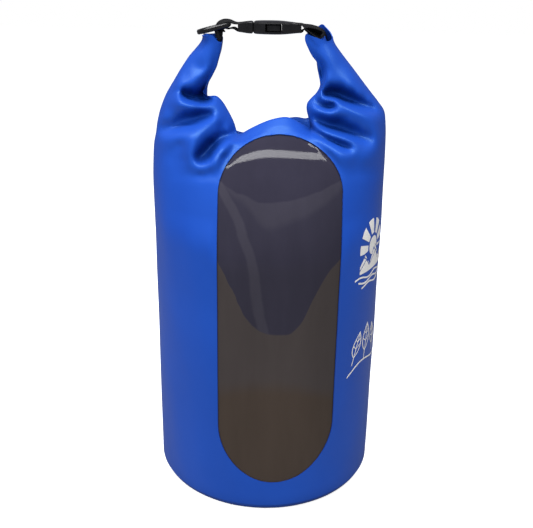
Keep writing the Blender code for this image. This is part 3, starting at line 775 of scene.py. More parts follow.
# =============================================================================
# folds and creases
# =============================================================================
# The front's folds, laid out on a plane across the line of sight that touches the front of the
# shoulder: mm right and up from the view's middle, and the height towards the eye in mm.
# Ridges stand out, valleys go in; a valley with a lip right below it makes a tuck.
FOLD_PLANE = 677.34  # mm from the eye
FOLD_LINES = [
    # left: ridge along the horn
    [(-91.8, 148.95, 0.6), (-85.05, 153.0, 1.6), (-78.75, 157.86, 3.2), (-73.89, 161.1, 3.8),
     (-66.33, 165.96, 4.2), (-58.05, 170.82, 4.0), (-54.0, 174.6, 3.4), (-52.2, 180.9, 2.8),
     (-49.95, 188.1, 2.0), (-48.6, 196.2, 1.0)],
    # left: the tuck under it, and its lip
    [(-76.77, 156.06, -1.0), (-75.24, 152.82, -6.5), (-71.55, 150.12, -10.0),
     (-66.6, 148.68, -12.0), (-60.75, 147.42, -12.5), (-55.8, 147.24, -10.5),
     (-51.75, 148.86, -6.5), (-49.05, 150.12, -3.0)],
    [(-80.01, 156.15, 2.4), (-78.21, 152.28, 3.0), (-74.79, 148.32, 3.4), (-70.2, 145.98, 3.4),
     (-65.25, 144.54, 3.4), (-58.95, 143.46, 3.2), (-52.65, 143.82, 2.6), (-46.35, 146.25, 1.6),
     (-41.85, 146.7, 0.8)],
    # left: the broad valley, and the ridge below it in two arms
    [(-97.2, 118.62, -1.4), (-94.05, 119.52, -3.4), (-88.65, 121.14, -5.4),
     (-81.45, 123.84, -7.4), (-72.45, 126.99, -8.6), (-63.45, 129.78, -8.6),
     (-54.45, 132.12, -6.6), (-49.05, 133.38, -3.4)],
    [(-97.65, 114.75, 1.6), (-90.45, 114.48, 2.6), (-83.25, 115.56, 3.6), (-70.38, 119.34, 4.8),
     (-57.15, 124.56, 5.2), (-48.51, 129.06, 4.6), (-44.55, 133.74, 2.4)],
    [(-47.7, 128.25, 4.4), (-50.4, 123.3, 4.8), (-54.63, 117.45, 5.2), (-59.85, 110.25, 5.6),
     (-63.81, 103.05, 5.4), (-66.15, 97.2, 4.6), (-66.15, 92.25, 3.8)],
    # left: the spoon, and its rim
    [(-25.65, 116.82, -1.8), (-29.25, 115.74, -4.6), (-35.1, 114.3, -8.0),
     (-42.3, 111.15, -11.0), (-47.25, 106.2, -13.0), (-53.1, 101.43, -13.5),
     (-58.05, 98.46, -11.5), (-60.93, 95.76, -8.5)],
    [(-64.89, 91.44, 3.2), (-62.73, 88.56, 2.8), (-59.4, 86.94, 3.0), (-54.9, 88.2, 3.0),
     (-50.31, 92.88, 2.8), (-45.81, 99.54, 2.6), (-41.31, 105.84, 2.4), (-33.75, 110.7, 1.8),
     (-25.65, 113.76, 0.8)],
    # right: the inner strip with its valley, and the small bright ridge
    [(45.0, 192.6, 0.8), (49.05, 186.3, 1.8), (54.45, 179.1, 2.4), (58.59, 171.9, 2.6),
     (59.85, 165.6, 2.0)],
    [(47.25, 181.8, -1.2), (49.95, 175.5, -3.0), (50.49, 170.1, -3.4), (48.69, 163.8, -2.6),
     (47.43, 157.5, -2.2)],
    [(54.99, 171.18, 2.8), (53.73, 165.15, 4.0), (51.21, 158.76, 4.2), (49.23, 154.26, 3.6),
     (49.23, 150.84, 3.0), (53.01, 149.04, 3.2), (59.13, 147.78, 3.4), (64.35, 145.98, 3.8),
     (70.2, 142.56, 3.6), (79.65, 139.32, 3.2), (92.25, 136.44, 2.6), (101.25, 135.18, 1.4)],
    # right: the big tuck
    [(51.39, 153.36, -5.0), (54.09, 152.28, -9.0), (58.5, 151.74, -11.5),
     (63.99, 149.94, -12.5), (70.29, 146.88, -12.0), (78.39, 143.82, -10.5),
     (88.65, 141.12, -8.0), (95.85, 139.5, -5.0), (102.15, 138.06, -1.6)],
    # right: the hook under its lip, and the ridge below
    [(43.11, 147.24, -1.0), (45.81, 144.9, -3.6), (49.41, 143.1, -6.4), (53.55, 141.66, -8.4),
     (57.51, 141.48, -8.6), (60.75, 142.74, -6.0)],
    [(40.05, 144.36, 1.2), (43.65, 141.12, 2.0), (48.15, 138.6, 2.6), (53.55, 137.34, 2.8),
     (58.95, 137.7, 2.8), (63.09, 139.86, 3.0), (65.07, 142.74, 3.6)],
    # right: the broad valley and the ridges round it
    [(40.59, 132.66, -1.0), (44.1, 129.24, -3.6), (49.41, 125.46, -6.8), (58.95, 121.5, -9.2),
     (68.67, 118.62, -9.8), (78.39, 116.1, -8.8), (86.85, 114.66, -6.0), (93.15, 113.94, -2.4)],
    [(65.25, 142.65, 3.6), (71.55, 138.96, 4.0), (78.75, 134.64, 4.2), (86.85, 129.24, 4.2),
     (93.51, 123.66, 4.2), (98.19, 117.36, 4.2), (100.89, 110.34, 4.2), (99.99, 104.04, 4.4),
     (95.49, 98.64, 4.6), (89.1, 94.5, 4.2), (82.8, 95.04, 3.0)],
    [(42.39, 126.36, 1.4), (46.71, 122.04, 2.2), (52.65, 118.44, 2.8), (60.75, 115.38, 3.4),
     (69.75, 112.32, 3.8), (77.85, 108.72, 3.6), (85.95, 104.94, 3.2)],
    # right: the thin slot above the window, and its lower lip
    [(40.77, 120.96, -2.2), (44.55, 118.26, -3.4), (49.41, 115.56, -4.0),
     (56.43, 111.96, -4.8), (64.62, 108.18, -5.2), (71.19, 105.3, -4.2), (75.15, 104.22, -1.6)],
    [(41.85, 116.64, 0.4), (49.05, 111.96, 0.9), (57.15, 107.82, 1.5), (65.25, 103.86, 2.0),
     (71.55, 101.7, 2.2), (76.41, 101.52, 2.4), (78.93, 104.04, 2.6)],
]
# single heights between the lines
FOLD_POINTS = [
    # left
    (-65.25, 176.4, 0.2), (-58.95, 175.95, 0.4), (-72.45, 169.2, 1.0), (-61.65, 187.2, 1.0),
    (-57.15, 197.1, 0.5), (-64.35, 154.8, -6.5), (-57.15, 158.4, -6.0), (-70.65, 155.7, -4.5),
    (-51.75, 163.8, -3.0), (-47.25, 172.8, -1.4), (-44.55, 183.6, -0.6), (-49.95, 156.6, -4.5),
    (-40.05, 144.9, 0.5), (-35.55, 136.8, 0.2), (-85.05, 129.6, -3.0), (-72.45, 135.0, -2.8),
    (-59.85, 137.7, -1.8), (-86.85, 140.4, 1.2), (-93.15, 131.4, 0.8), (-38.25, 129.6, -0.5),
    (-31.95, 126.0, -1.0), (-40.95, 124.2, -2.5), (-34.65, 119.7, -4.0), (-56.25, 94.05, -7.0),
    (-51.75, 97.2, -8.5), (-49.05, 113.4, -5.0), (-55.35, 106.2, -7.0), (-45.0, 118.35, -3.0),
    (-77.85, 107.1, 2.2), (-86.85, 102.6, 0.8), (-75.15, 93.6, 1.4), (-88.65, 89.1, 0.2),
    (-59.85, 81.0, -0.6), (-68.85, 82.8, 0.4), (-88.65, 155.7, 0.3),
    # right
    (62.55, 159.3, -5.0), (72.45, 156.6, -4.4), (82.35, 151.2, -4.2), (92.25, 145.8, -3.2),
    (55.35, 157.5, -4.0), (70.65, 167.4, 1.0), (81.45, 160.2, 0.8), (66.15, 178.2, 0.8),
    (38.25, 144.0, 0.8), (35.1, 140.4, 0.3), (49.95, 132.75, -2.8), (62.55, 130.5, -4.0),
    (75.15, 126.0, -3.8), (85.05, 120.6, -3.0), (104.85, 120.6, 0.6), (105.75, 102.6, 0.4),
    (89.55, 86.4, 0.2), (79.65, 88.2, 0.4), (99.45, 88.2, 0.2), (105.75, 135.9, 0.2),
]
# places round the folds that stay where they are
FOLD_STILL = [
    (-50.85, 82.8), (-101.25, 102.6), (-101.25, 75.6), (-86.85, 73.8), (-68.85, 72.0),
    (-50.85, 71.1), (-40.05, 84.6), (-38.25, 95.4), (-31.05, 104.4), (-18.45, 111.6),
    (-1.35, 117.0), (19.35, 119.7), (32.85, 117.0), (46.35, 106.2), (55.35, 97.2),
    (62.55, 86.4), (67.95, 73.8), (85.95, 72.0), (105.75, 73.8), (-14.85, 89.1), (12.15, 93.6),
    (34.65, 86.4), (-5.85, 66.6), (30.15, 66.6), (-20.25, 117.9), (-2.25, 127.35),
    (19.35, 131.4), (31.95, 126.0), (-57.15, 204.3), (-65.25, 192.6), (-76.95, 176.4),
    (-95.85, 137.7), (-41.85, 201.6), (-41.85, 190.8), (35.55, 200.7), (40.95, 187.2),
    (55.35, 199.8), (69.75, 186.3), (78.75, 175.5), (86.85, 164.7), (94.95, 153.9),
    (101.25, 144.9), (36.45, 136.8),
]

# the back's creases, mm: line of (x, z, depth), width on the soft side and on the steep side
CREASES_BACK = [
    ([(-96, 418, 0.5), (-86, 411, 6), (-74, 408, 8), (-62, 410, 5)], 12.0, 3.0),
    ([(-113, 384, 1.5), (-98, 381, 6), (-80, 383, 7), (-64, 391, 1)], 13.0, 4.0),
    ([(-74, 348, 0.5), (-66, 352, 6), (-58, 361, 8), (-47, 371, 7), (-33, 373, 3)], 12.0, 3.2),
    ([(52, 416, 4), (60, 410.5, 8), (74, 407, 7.5), (92, 404, 5), (108, 401, 0.8)], 12.0, 3.0),
    ([(44, 391, 3), (58, 386, 7), (76, 384, 7.5), (96, 377, 5), (111, 372, 1)], 13.0, 4.0),
    ([(38, 372, 3), (52, 362, 7.5), (64, 352, 6), (71, 343, 0.5)], 11.0, 3.2),
]
CREASE_LIP = 1.1 / 8.0  # height of the lip on the steep side, as a share of the depth


def nearest_on(rows, x, z):
    """Nearest point on a smooth line of (x, z, value).

    Gives its value, the signed distance (positive on the left) and how far past an end it is.
    """
    at, length = smooth_path(rows)
    fine = at(np.linspace(0, length, 60))
    last = len(fine) - 2
    best = np.full(x.shape, 1e9)
    value, signed, beyond = np.zeros(x.shape), np.zeros(x.shape), np.zeros(x.shape)
    for k, (start, end) in enumerate(zip(fine, fine[1:])):
        dx, dz = end[0] - start[0], end[1] - start[1]
        step2 = dx * dx + dz * dz
        step = math.sqrt(step2)
        t = ((x - start[0]) * dx + (z - start[1]) * dz) / step2
        held = np.clip(t, 0, 1)
        dist = np.hypot(x - (start[0] + dx * held), z - (start[1] + dz * held))
        side = (dx * (z - start[1]) - dz * (x - start[0])) / step
        past = step * (np.maximum(-t, 0) * (k == 0) + np.maximum(t - 1, 0) * (k == last))
        here = np.where(past > 0, side, np.where(side >= 0, dist, -dist))
        near = dist < best
        best = np.where(near, dist, best)
        value = np.where(near, start[2] + (end[2] - start[2]) * held, value)
        signed = np.where(near, here, signed)
        beyond = np.where(near, past, beyond)
    return value, signed, beyond


def crease_height(pts):
    """How far each point of the back moves along its outward normal, in metres."""
    x, z = pts[..., 0] / MM, pts[..., 2] / MM
    total = np.zeros(x.shape)
    for rows, wide, steep in CREASES_BACK:
        depth, off, beyond = nearest_on(rows, x, z)
        scaled = np.where(off > 0, off / wide, -off / steep)
        rounded = np.sqrt(scaled * scaled + 0.06) - math.sqrt(0.06)
        groove = -np.exp(-(rounded**1.25) * 1.35)
        lip = np.exp(-(((off + steep * 1.9) / (steep * 1.1)) ** 2)) * CREASE_LIP
        total += depth * (groove + lip) * np.exp(-((beyond / 6.0) ** 2))
    return total * MM


def on_fold_plane(pts):
    """Where the line of sight to each point crosses the fold plane: mm right and up."""
    offset = pts - EYE
    depth = offset[..., 1] * math.cos(PITCH) - offset[..., 2] * math.sin(PITCH)
    height = offset[..., 1] * math.sin(PITCH) + offset[..., 2] * math.cos(PITCH)
    level, plumb = FOLD_PLANE * offset[..., 0] / depth, FOLD_PLANE * height / depth
    return (
        level * math.cos(LEAN) + plumb * math.sin(LEAN),
        plumb * math.cos(LEAN) - level * math.sin(LEAN),
    )


def fold_height(pts):
    """A thin plate through the front's fold heights, in metres."""
    unit = 45.0  # mm, sets the plate's stiffness together with the slack
    slack = 1.2e-3
    spacing = 1.53  # mm between heights taken along a line
    batch = 4000

    def kernel(d2):
        return np.where(d2 > 1e-12, d2 * np.log(np.maximum(d2, 1e-12)), 0.0)

    knots = [np.array(FOLD_POINTS), np.array([(a, b, 0.0) for a, b in FOLD_STILL])]
    for line in FOLD_LINES:
        at, length = smooth_path(line)
        knots.append(at(np.linspace(0, length, max(3, int(length / spacing)))))
    knots = np.concatenate(knots)
    spots, heights = knots[:, :2] / unit, knots[:, 2]
    count = len(spots)
    system = np.zeros((count + 3, count + 3))
    system[:count, :count] = kernel(((spots[:, None] - spots[None]) ** 2).sum(-1))
    system[:count, :count] += np.eye(count) * slack
    system[:count, count], system[:count, count + 1 :] = 1, spots
    system[count:, :count] = system[:count, count:].T
    weights = np.linalg.solve(system, np.concatenate([heights, np.zeros(3)]))

    right, up = on_fold_plane(pts)
    places = np.stack([right.ravel(), up.ravel()], -1) / unit
    out = np.zeros(len(places))
    for first in range(0, len(places), batch):
        part = places[first : first + batch]
        bent = kernel(((part[:, None] - spots[None]) ** 2).sum(-1)) @ weights[:count]
        out[first : first + batch] = bent + weights[count] + part @ weights[count + 1 :]
    # fades out below the shoulder
    return out.reshape(right.shape) * ease((up - 70.2) / 10.8) * MM


def soften(field, passes):
    """Evens out a field over the grid."""
    for _ in range(passes):
        pad = np.pad(field, 1, mode="edge")
        beside = pad[:-2, 1:-1] + pad[2:, 1:-1] + pad[1:-1, :-2] + pad[1:-1, 2:]
        corners = pad[:-2, :-2] + pad[2:, 2:] + pad[:-2, 2:] + pad[2:, :-2]
        field = (4 * field + 2 * beside + corners) / 16
    return field


def normals_of(grid):
    normals = np.cross(np.gradient(grid, axis=1), np.gradient(grid, axis=0))
    return normals / np.maximum(np.linalg.norm(normals, axis=-1), 1e-12)[..., None]


def ripple(pts, amount, seed):
    """Smooth unevenness from a few slow waves."""
    rng = np.random.default_rng(seed)
    total = np.zeros(pts.shape[:-1])
    for _ in range(14):
        wave = rng.normal(0, 1, 3) * rng.uniform(18, 70)
        wave[2] *= 0.55
        total += np.sin(pts @ wave + rng.uniform(0, 6.28)) * rng.uniform(0.4, 1.0)
    return total / 5.0 * amount


# ---- the window: rounded at both ends, on the front
WIN_X, WIN_HALF = 0.0110, 0.0578
WIN_LOW, WIN_LOW_C = 0.0366, 0.098  # lower edge, and where its rounding starts
WIN_TOP_C, WIN_TOP = 0.330, 0.3788


def window_gap(pts):
    """Roughly the distance outside the window's edge; large away from the front."""
    dx = (pts[..., 0] - WIN_X) / WIN_HALF
    up = np.maximum(pts[..., 2] - WIN_TOP_C, 0) / (WIN_TOP - WIN_TOP_C)
    down = np.maximum(WIN_LOW_C - pts[..., 2], 0) / (WIN_LOW_C - WIN_LOW)
    gap = (np.sqrt(dx * dx + up * up + down * down) - 1) * WIN_HALF
    return np.where(pts[..., 1] > -0.045, 0.05, gap)


# =============================================================================
# the fabric: front sheet, strip over the roll and back sheet, one grid round the bag
# =============================================================================
COLS = 236
MID_COL = COLS // 2
RISE = np.linspace(0, 1, 111)
LOW_Z = np.linspace(FABRIC_FOOT, RING_Z, 46)[:-1]  # rows of the plain tube
OVER = np.concatenate(
    [np.linspace(0, 0.4, 13), np.linspace(0.4, 0.6, 9)[1:], np.linspace(0.6, 1.0, 13)[1:]]
)
RIPPLE, RIPPLE_SEED = 0.0007, 3

# columns, closer together near the side folds; one falls on each end of the horns' open tops
across = (
    np.sin(np.linspace(-math.pi / 2, math.pi / 2, COLS + 1)) * 0.35
    + np.linspace(-1, 1, COLS + 1) * 0.65
)
open_share = S_OPEN / S_EDGE
open_left = int(np.argmin(np.abs(across + open_share)))
open_right = int(np.argmin(np.abs(across - open_share)))
across[open_left], across[open_right], across[MID_COL] = -open_share, open_share, 0.0


def full_sheet(face):
    angle = across * math.pi / 2
    x, y = RADIUS * np.sin(angle), face * RADIUS * np.cos(angle)
    low = np.array([np.stack([x, y, np.full(len(across), z)], -1) for z in LOW_Z])
    return np.concatenate([low, inflated(face, across, RISE)])


def even_window(sheet):
    """The welded film keeps its own smooth curve: a low polynomial off the cylinder."""
    stiff = ease((window_gap(sheet) + 0.003) / 0.013)
    rise = np.maximum(sheet[..., 2] - 0.262, 0) / 0.12
    cylinder = -np.sqrt(np.maximum(RADIUS**2 - sheet[..., 0] ** 2, 0))
    terms = np.stack(
        [(sheet[..., 0] / 0.06) ** i * rise**j for i in range(4) for j in (2, 3, 4)], -1
    )
    fitted = (window_gap(sheet) < 0.008) & (sheet[..., 2] > 0.262)
    factors, *_ = np.linalg.lstsq(terms[fitted], (sheet[..., 1] - cylinder)[fitted], rcond=None)
    even = cylinder + terms @ factors
    made = sheet.copy()
    made[..., 1] = sheet[..., 1] * stiff + even * (1 - stiff)
    return made


front_base, back_base = full_sheet(-1.0), full_sheet(1.0)
front_normals, back_normals = normals_of(front_base), -normals_of(back_base)

# nothing moves at the side folds, at the fold line or where the film is welded in
edge = ease((1 - np.abs(across)) / 0.05)[None, :]
rim = ease((1 - np.concatenate([np.zeros(len(LOW_Z)), RISE])) / 0.03)[:, None]
calm = ease((front_base[..., 2] - FABRIC_FOOT) / 0.03)

front = even_window(front_base)
stiff = ease((window_gap(front) + 0.004) / 0.011)
toward_eye = EYE - front
toward_eye /= np.linalg.norm(toward_eye, axis=-1)[..., None]
folds = fold_height(front)
folds = np.where(folds < 0, folds * 1.30, folds)
front = front + toward_eye * (soften(folds * stiff, 1) * edge * rim)[..., None]
uneven = ripple(front_base, RIPPLE, RIPPLE_SEED) * calm * edge * (0.25 + 0.75 * stiff)
front = front + front_normals * uneven[..., None]

creases = soften(crease_height(back_base), 2) * edge
back = back_base + back_normals * creases[..., None]
uneven = ripple(back_base, RIPPLE, RIPPLE_SEED) * calm * edge
back = back + back_normals * uneven[..., None]

for k in (0, COLS):  # both sheets share the side fold
    front[:, k] = back[:, k] = (front[:, k] + back[:, k]) / 2

strip_cols = np.arange(open_left, open_right + 1)
strip = closing_strip(across[strip_cols], OVER)[1:-1]  # its ends are the sheets' own top rows

rows_n = front.shape[0]
front_ids = grid_ids(rows_n, COLS + 1)
back_ids = front_ids + front_ids.size
strip_ids = np.vstack([
    front_ids[-1, strip_cols],
    grid_ids(*strip.shape[:2]) + 2 * front_ids.size,
    back_ids[-1, strip_cols],
])
back_ids[:, [0, -1]] = front_ids[:, [0, -1]]
quads = np.concatenate(
    [quads_of(front_ids), quads_of(back_ids)[:, [1, 0, 3, 2]], quads_of(strip_ids)]
)
right_half = np.arange(COLS) >= MID_COL
half = np.concatenate([
    np.tile(right_half, 2 * (rows_n - 1)),
    np.tile(strip_cols[:-1] >= MID_COL, len(OVER) - 1),
]).astype(np.int32)
all_verts = np.concatenate([part.reshape(-1, 3) for part in (front, back, strip)])

# places on the unrolled sheet
row_len = np.concatenate([LOW_Z, RING_Z + RISE * 0.18])


def flat_grid(widths, lengths):
    width, length = np.meshgrid(widths, lengths)
    return np.stack([width, length, np.zeros_like(width)], -1)


flat_front = flat_grid(across * HALF_WIDTH, row_len)
flat_strip = flat_grid(across[strip_cols] * HALF_WIDTH, 0.45 + OVER[1:-1] * 0.06)
flat_all = np.concatenate([
    flat_front.reshape(-1, 3),
    flat_front.reshape(-1, 3) + [0.5, 0, 0],
    flat_strip.reshape(-1, 3),
])


def build_fabric():
    """The whole tarpaulin, with the window cut out."""
    verts, gap = snap(all_verts, window_gap, 0.0005)
    touched = (gap[quads] <= 0).any(1)
    tris_half = np.concatenate([half[touched], half[touched]])
    verts, cut, flat, kept = clip(verts, triangles_of(quads[touched]), flat_all, gap)
    faces = [tuple(quad) for quad in quads[~touched]] + cut
    face_half = np.concatenate([half[~touched], tris_half[kept]])
    verts, faces, flat = compact(verts, faces, flat)
    fabric = mesh_object("fabric_all", verts, faces, PVC, flat)
    layer = fabric.data.attributes.new("half", "INT", "FACE")
    layer.data.foreach_set("value", face_half.astype(np.int32))
    fabric.data.materials.append(PVC_INSIDE)
    with editing(fabric.data) as made:
        bmesh.ops.remove_doubles(made, verts=made.verts[:], dist=0.00004)
        bmesh.ops.dissolve_degenerate(made, edges=made.edges[:], dist=0.00003)
    smooth(fabric, 180)
    thicken(fabric, WALL, -1.0, 62, material_offset=1, material_offset_rim=0)
    return fabric


def split_halves(thing, names):
    """Splits by the 'half' face attribute into two objects that keep the joined shading."""
    mesh = thing.data
    face_half = np.zeros(len(mesh.polygons), np.int32)
    mesh.attributes["half"].data.foreach_get("value", face_half)
    normals = np.zeros(len(mesh.loops) * 3, np.float32)
    mesh.corner_normals.foreach_get("vector", normals)
    normals = normals.reshape(-1, 3)
    made = []
    for value, name in enumerate(names):
        part = mesh.copy()
        part.name = name
        obj = bpy.data.objects.new(name, part)
        bpy.context.scene.collection.objects.link(obj)
        kept = np.concatenate([
            np.arange(face.loop_start, face.loop_start + face.loop_total)
            for face in mesh.polygons if face_half[face.index] == value
        ])
        with editing(part) as opened:
            gone = [face for face in opened.faces if face_half[face.index] != value]
            bmesh.ops.delete(opened, geom=gone, context="FACES")
        part.normals_split_custom_set([tuple(normal) for normal in normals[kept]])
        made.append(obj)
    bpy.data.objects.remove(thing, do_unlink=True)
    return made


fabric_left, fabric_right = split_halves(build_fabric(), ("fabric_left", "fabric_right"))
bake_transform(fabric_left)
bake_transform(fabric_right)
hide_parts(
    "body_tube", "shoulder_left", "roll_left", "stiffener_left", "roll_center",
    "stiffener_center", "lip_webbing_center",
)
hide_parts("shoulder_right", "roll_right", "stiffener_right")


def build_film():
    """The window film: the front's own surface, a little behind the fabric."""
    overlap = 0.0075
    verts = (front - front_normals * (WALL + 0.0004)).reshape(-1, 3)
    inside = overlap - window_gap(front.reshape(-1, 3))
    film_quads = quads_of(front_ids)
    film_quads = film_quads[(inside[film_quads] > 0).any(1)]
    flat = flat_front.reshape(-1, 3)
    verts, faces, flat, _ = clip(verts, triangles_of(film_quads), flat, inside)
    verts, faces, flat = compact(verts, faces, flat)
    film = mesh_object("window_film_clear", verts, faces, FILM, flat)
    with editing(film.data) as made:
        bmesh.ops.remove_doubles(made, verts=made.verts[:], dist=0.00004)
    thicken(film, 0.0005, -1.0, 50)
    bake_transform(film)
    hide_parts("window_film")


build_film()

# =============================================================================
# buckle and D-ring
# =============================================================================
for name in ("buckle_prong_front", "buckle_prong_back", "d_ring"):
    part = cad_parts[name]
    part.data.materials.clear()
    part.data.materials.append(PLASTIC)
    smooth(part, 35)

BUCKLE_Z = 0.4715  # the buckle's middle height
CUT_STEP = 0.0022
CUT_Y = (0.0035, 0.0070, 0.0110, 0.0150)
RIB_HALF, RIB_DEPTH = 0.75, 0.00045  # half width in mm, depth in metres
CHEEK_Y = 0.0132
DRAW_X = 0.020  # beyond this the half is drawn shorter
CORNER_X, CORNER_Y = 0.0256, 0.0124


def cut_buckle(made, ribs):
    """Adds edges across and along, so that the skin can be shaped."""
    lo = min(v.co.x for v in made.verts)
    hi = max(v.co.x for v in made.verts)
    cuts = list(np.arange(lo + 0.0018, hi - 0.0015, CUT_STEP))
    for x in ribs:
        cuts += [(x + off) * MM for off in (-RIB_HALF, -0.4, 0.0, 0.4, RIB_HALF)]
    planes = [((x, 0, 0), (1, 0, 0)) for x in sorted(cuts)]
    stations = [-y for y in reversed(CUT_Y)] + [0.0, *CUT_Y]
    planes += [((0, y, 0), (0, 1, 0)) for y in stations]
    for place, normal in planes:
        geom = made.verts[:] + made.edges[:] + made.faces[:]
        bmesh.ops.bisect_plane(made, geom=geom, plane_co=place, plane_no=normal, dist=1e-6)


def shape_buckle(point, taper, ribs, draw):
    """Moves one point of a buckle half to its moulded place."""
    up = point.z - BUCKLE_Z
    if abs(up) > 0.0037:
        share = float(taper(point.x / MM)[0]) * (1 - 0.13 * (point.y / 0.017) ** 2)
        groove = 0.0
        if abs(point.y) < 0.0125 and abs(up) > 0.0055:
            dips = [RIB_DEPTH * (1 - abs(point.x / MM - x) / RIB_HALF) for x in ribs]
            groove = max([0.0] + dips)
        least = 0.0037 if abs(point.x) < 0.0126 else 0.0026
        point.z = BUCKLE_Z + math.copysign(max(abs(up) * share - groove, least), up)
    # the cheeks beside the strap bar come in too
    away = float(ease((abs(point.x) - 0.011) / 0.013))
    if abs(point.y) > CHEEK_Y:
        y = CHEEK_Y + (abs(point.y) - CHEEK_Y) * (1 - 0.82 * away)
        point.y = math.copysign(y, point.y)
    if point.x > DRAW_X:
        point.x = DRAW_X + (point.x - DRAW_X) * draw
    # the far corners are cut back
    if point.x > CORNER_X and abs(point.y) > CORNER_Y:
        back_cut = 0.9 * float(ease((point.x - CORNER_X) / 0.0020))
        y = CORNER_Y + (abs(point.y) - CORNER_Y) * (1 - back_cut)
        point.y = math.copysign(y, point.y)


def moulded(name, source, body, taper, ribs=(), draw=1.0):
    """A buckle half drawn in towards its strap bar and crowned across, with shallow grip ribs.

    taper holds (x in mm, share of the height) and ribs the ribs' x in mm.
    """
    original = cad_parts[source]
    mesh = original.data.copy()
    mesh.transform(original.matrix_world)
    thing = bpy.data.objects.new(name, mesh)
    bpy.context.scene.collection.objects.link(thing)
    share_at = table(taper)
    with editing(mesh) as made:
        cut_buckle(made, ribs)
        for vertex in made.verts:
            shape_buckle(vertex.co, share_at, ribs, draw)
        bmesh.ops.recalc_face_normals(made, faces=made.faces[:])
    mesh.materials.clear()
    mesh.materials.append(PLASTIC)
    smooth(thing, 32)
    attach(thing, body)
    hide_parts(source)


moulded(
    "plug_moulded", "buckle_plug", "plug",
    taper=[(-31.7, 0.70), (-28.5, 0.76), (-25, 0.85), (-21, 0.93), (-17.4, 0.95)],
)
moulded(
    "socket_moulded", "buckle_socket", "socket",
    taper=[(-17.1, 0.90), (-13, 0.96), (-5, 1.0), (6, 1.0), (13, 0.94), (19, 0.84), (24, 0.75),
           (30, 0.70)],
    ribs=(13.6, 15.8, 18.0),
    draw=0.82,
)

# =============================================================================
# webbing straps
# =============================================================================
STRAP_HALF, STRAP_THICK = 0.0122, 0.0013
STRAP_STEP = 0.4  # mm along the strap


def ribbon(name, path):
    """A strap along a line of (x mm, z mm, turn about the line in degrees), its width along y."""
    at, length = smooth_path(path)
    count = int(length / STRAP_STEP)
    line = at(np.linspace(0, length, count))
    turn = np.radians(line[:, 2:3])
    line = line[:, :2] * MM
    step = np.gradient(line, axis=0)
    side = np.stack([-step[:, 1], step[:, 0]], -1)
    side /= np.linalg.norm(side, axis=1)[:, None]
    shares = np.concatenate([[-1.0, -0.985, -0.95], np.linspace(-0.88, 0.88, 15), [0.95, 0.985, 1.0]])
    # thinner towards its two edges
    thinning = np.where(np.abs(shares) > 0.99, 0.35, np.where(np.abs(shares) > 0.98, 0.75, 1.0))
    wide = (shares * STRAP_HALF)[None, :]
    verts = []
    for level in (1.0, -1.0):
        rise = level * STRAP_THICK / 2 * thinning[None, :]
        off = np.sin(turn) * wide + np.cos(turn) * rise
        x = line[:, :1] + side[:, :1] * off
        z = line[:, 1:] + side[:, 1:] * off
        y = np.cos(turn) * wide - np.sin(turn) * rise
        verts.append(np.stack([x, y, z], -1).reshape(-1, 3))
    run = np.linspace(0, length * MM, count)[:, None]
    flat = np.stack(np.broadcast_arrays(run, wide, np.zeros((1, 1))), -1).reshape(-1, 3)
    ids = grid_ids(count, len(shares))
    faces = [quads_of(ids), quads_of(ids)[:, ::-1] + ids.size]
    for border in (ids[:, 0], ids[::-1, -1], ids[0, ::-1], ids[-1]):
        here, following = border[:-1], border[1:]
        faces.append(np.stack([here, following, following + ids.size, here + ids.size], -1))
    thing = mesh_object(
        name, np.concatenate(verts), np.concatenate(faces), WEBBING, np.concatenate([flat] * 2)
    )
    with editing(thing.data) as made:
        bmesh.ops.recalc_face_normals(made, faces=made.faces[:])
    smooth(thing, 50)
    return thing


def round_bar(bar_x, side):
    """The strap's line round a buckle bar, from under it to over it, in mm."""
    bend = 1.35
    made = []
    for middle, first in ((469.4, -90), (473.6, 0)):
        for k in range(5):
            turn = math.radians(first + 22.5 * k)
            x = bar_x + side * (-0.4 + bend * math.cos(turn))
            made.append((x, middle + bend * math.sin(turn), 0))
    return made


# each strap starts on the inside, runs round its bar and comes back over itself to the horn
LEFT_STRAP = [
    (-49.2, 467.0, -20), (-48.4, 469.3, -15), (-46.2, 470.4, -8), (-43.6, 470.1, -4),
    (-41.0, 469.8, -2), (-37.6, 470.5, -1), (-34.8, 470.2, 0), (-32.8, 468.9, 0),
    (-30.4, 468.05, 0),
    *round_bar(-26.2, 1),
    (-30.4, 474.95, 0), (-32.8, 474.8, 0), (-35.6, 475.2, -1), (-38.4, 476.2, -2),
    (-41.5, 476.9, -3), (-45.8, 476.0, -8), (-49.2, 473.0, -16), (-50.5, 468.6, -21),
    (-50.6, 463.8, -19), (-51.2, 459.0, -11), (-52.2, 450.0, -4),
]
RIGHT_STRAP = [
    (46.8, 464.7, 22), (44.4, 466.0, 23), (41.0, 467.6, 20), (37.4, 469.1, 16),
    (34.0, 470.4, 11), (31.4, 470.5, 5), (29.8, 469.2, 1), (28.2, 468.15, 0),
    (26.6, 468.05, 0),
    *round_bar(23.69, -1),
    (26.8, 474.95, 0), (28.8, 474.75, 1), (31.2, 473.4, 5), (34.2, 472.0, 11),
    (37.6, 470.7, 16), (41.2, 469.1, 20), (45.0, 467.2, 23), (48.6, 464.4, 22),
    (50.6, 460.0, 15), (51.4, 452.0, 6),
]
# side, path, buckle half, x of the blend's direction, distances where the blend starts and ends
STRAPS = (
    ("left", LEFT_STRAP, "plug", 0.41, 0.3985, 0.4100),
    ("right", RIGHT_STRAP, "socket", -0.41, 0.3970, 0.4110),
)
for side, path, body, slant, start, end in STRAPS:
    strap = ribbon(f"strap_{side}", path)
    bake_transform(strap)
    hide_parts(f"webbing_{side}_loop", f"lip_webbing_{side}", f"bartack_{side}")

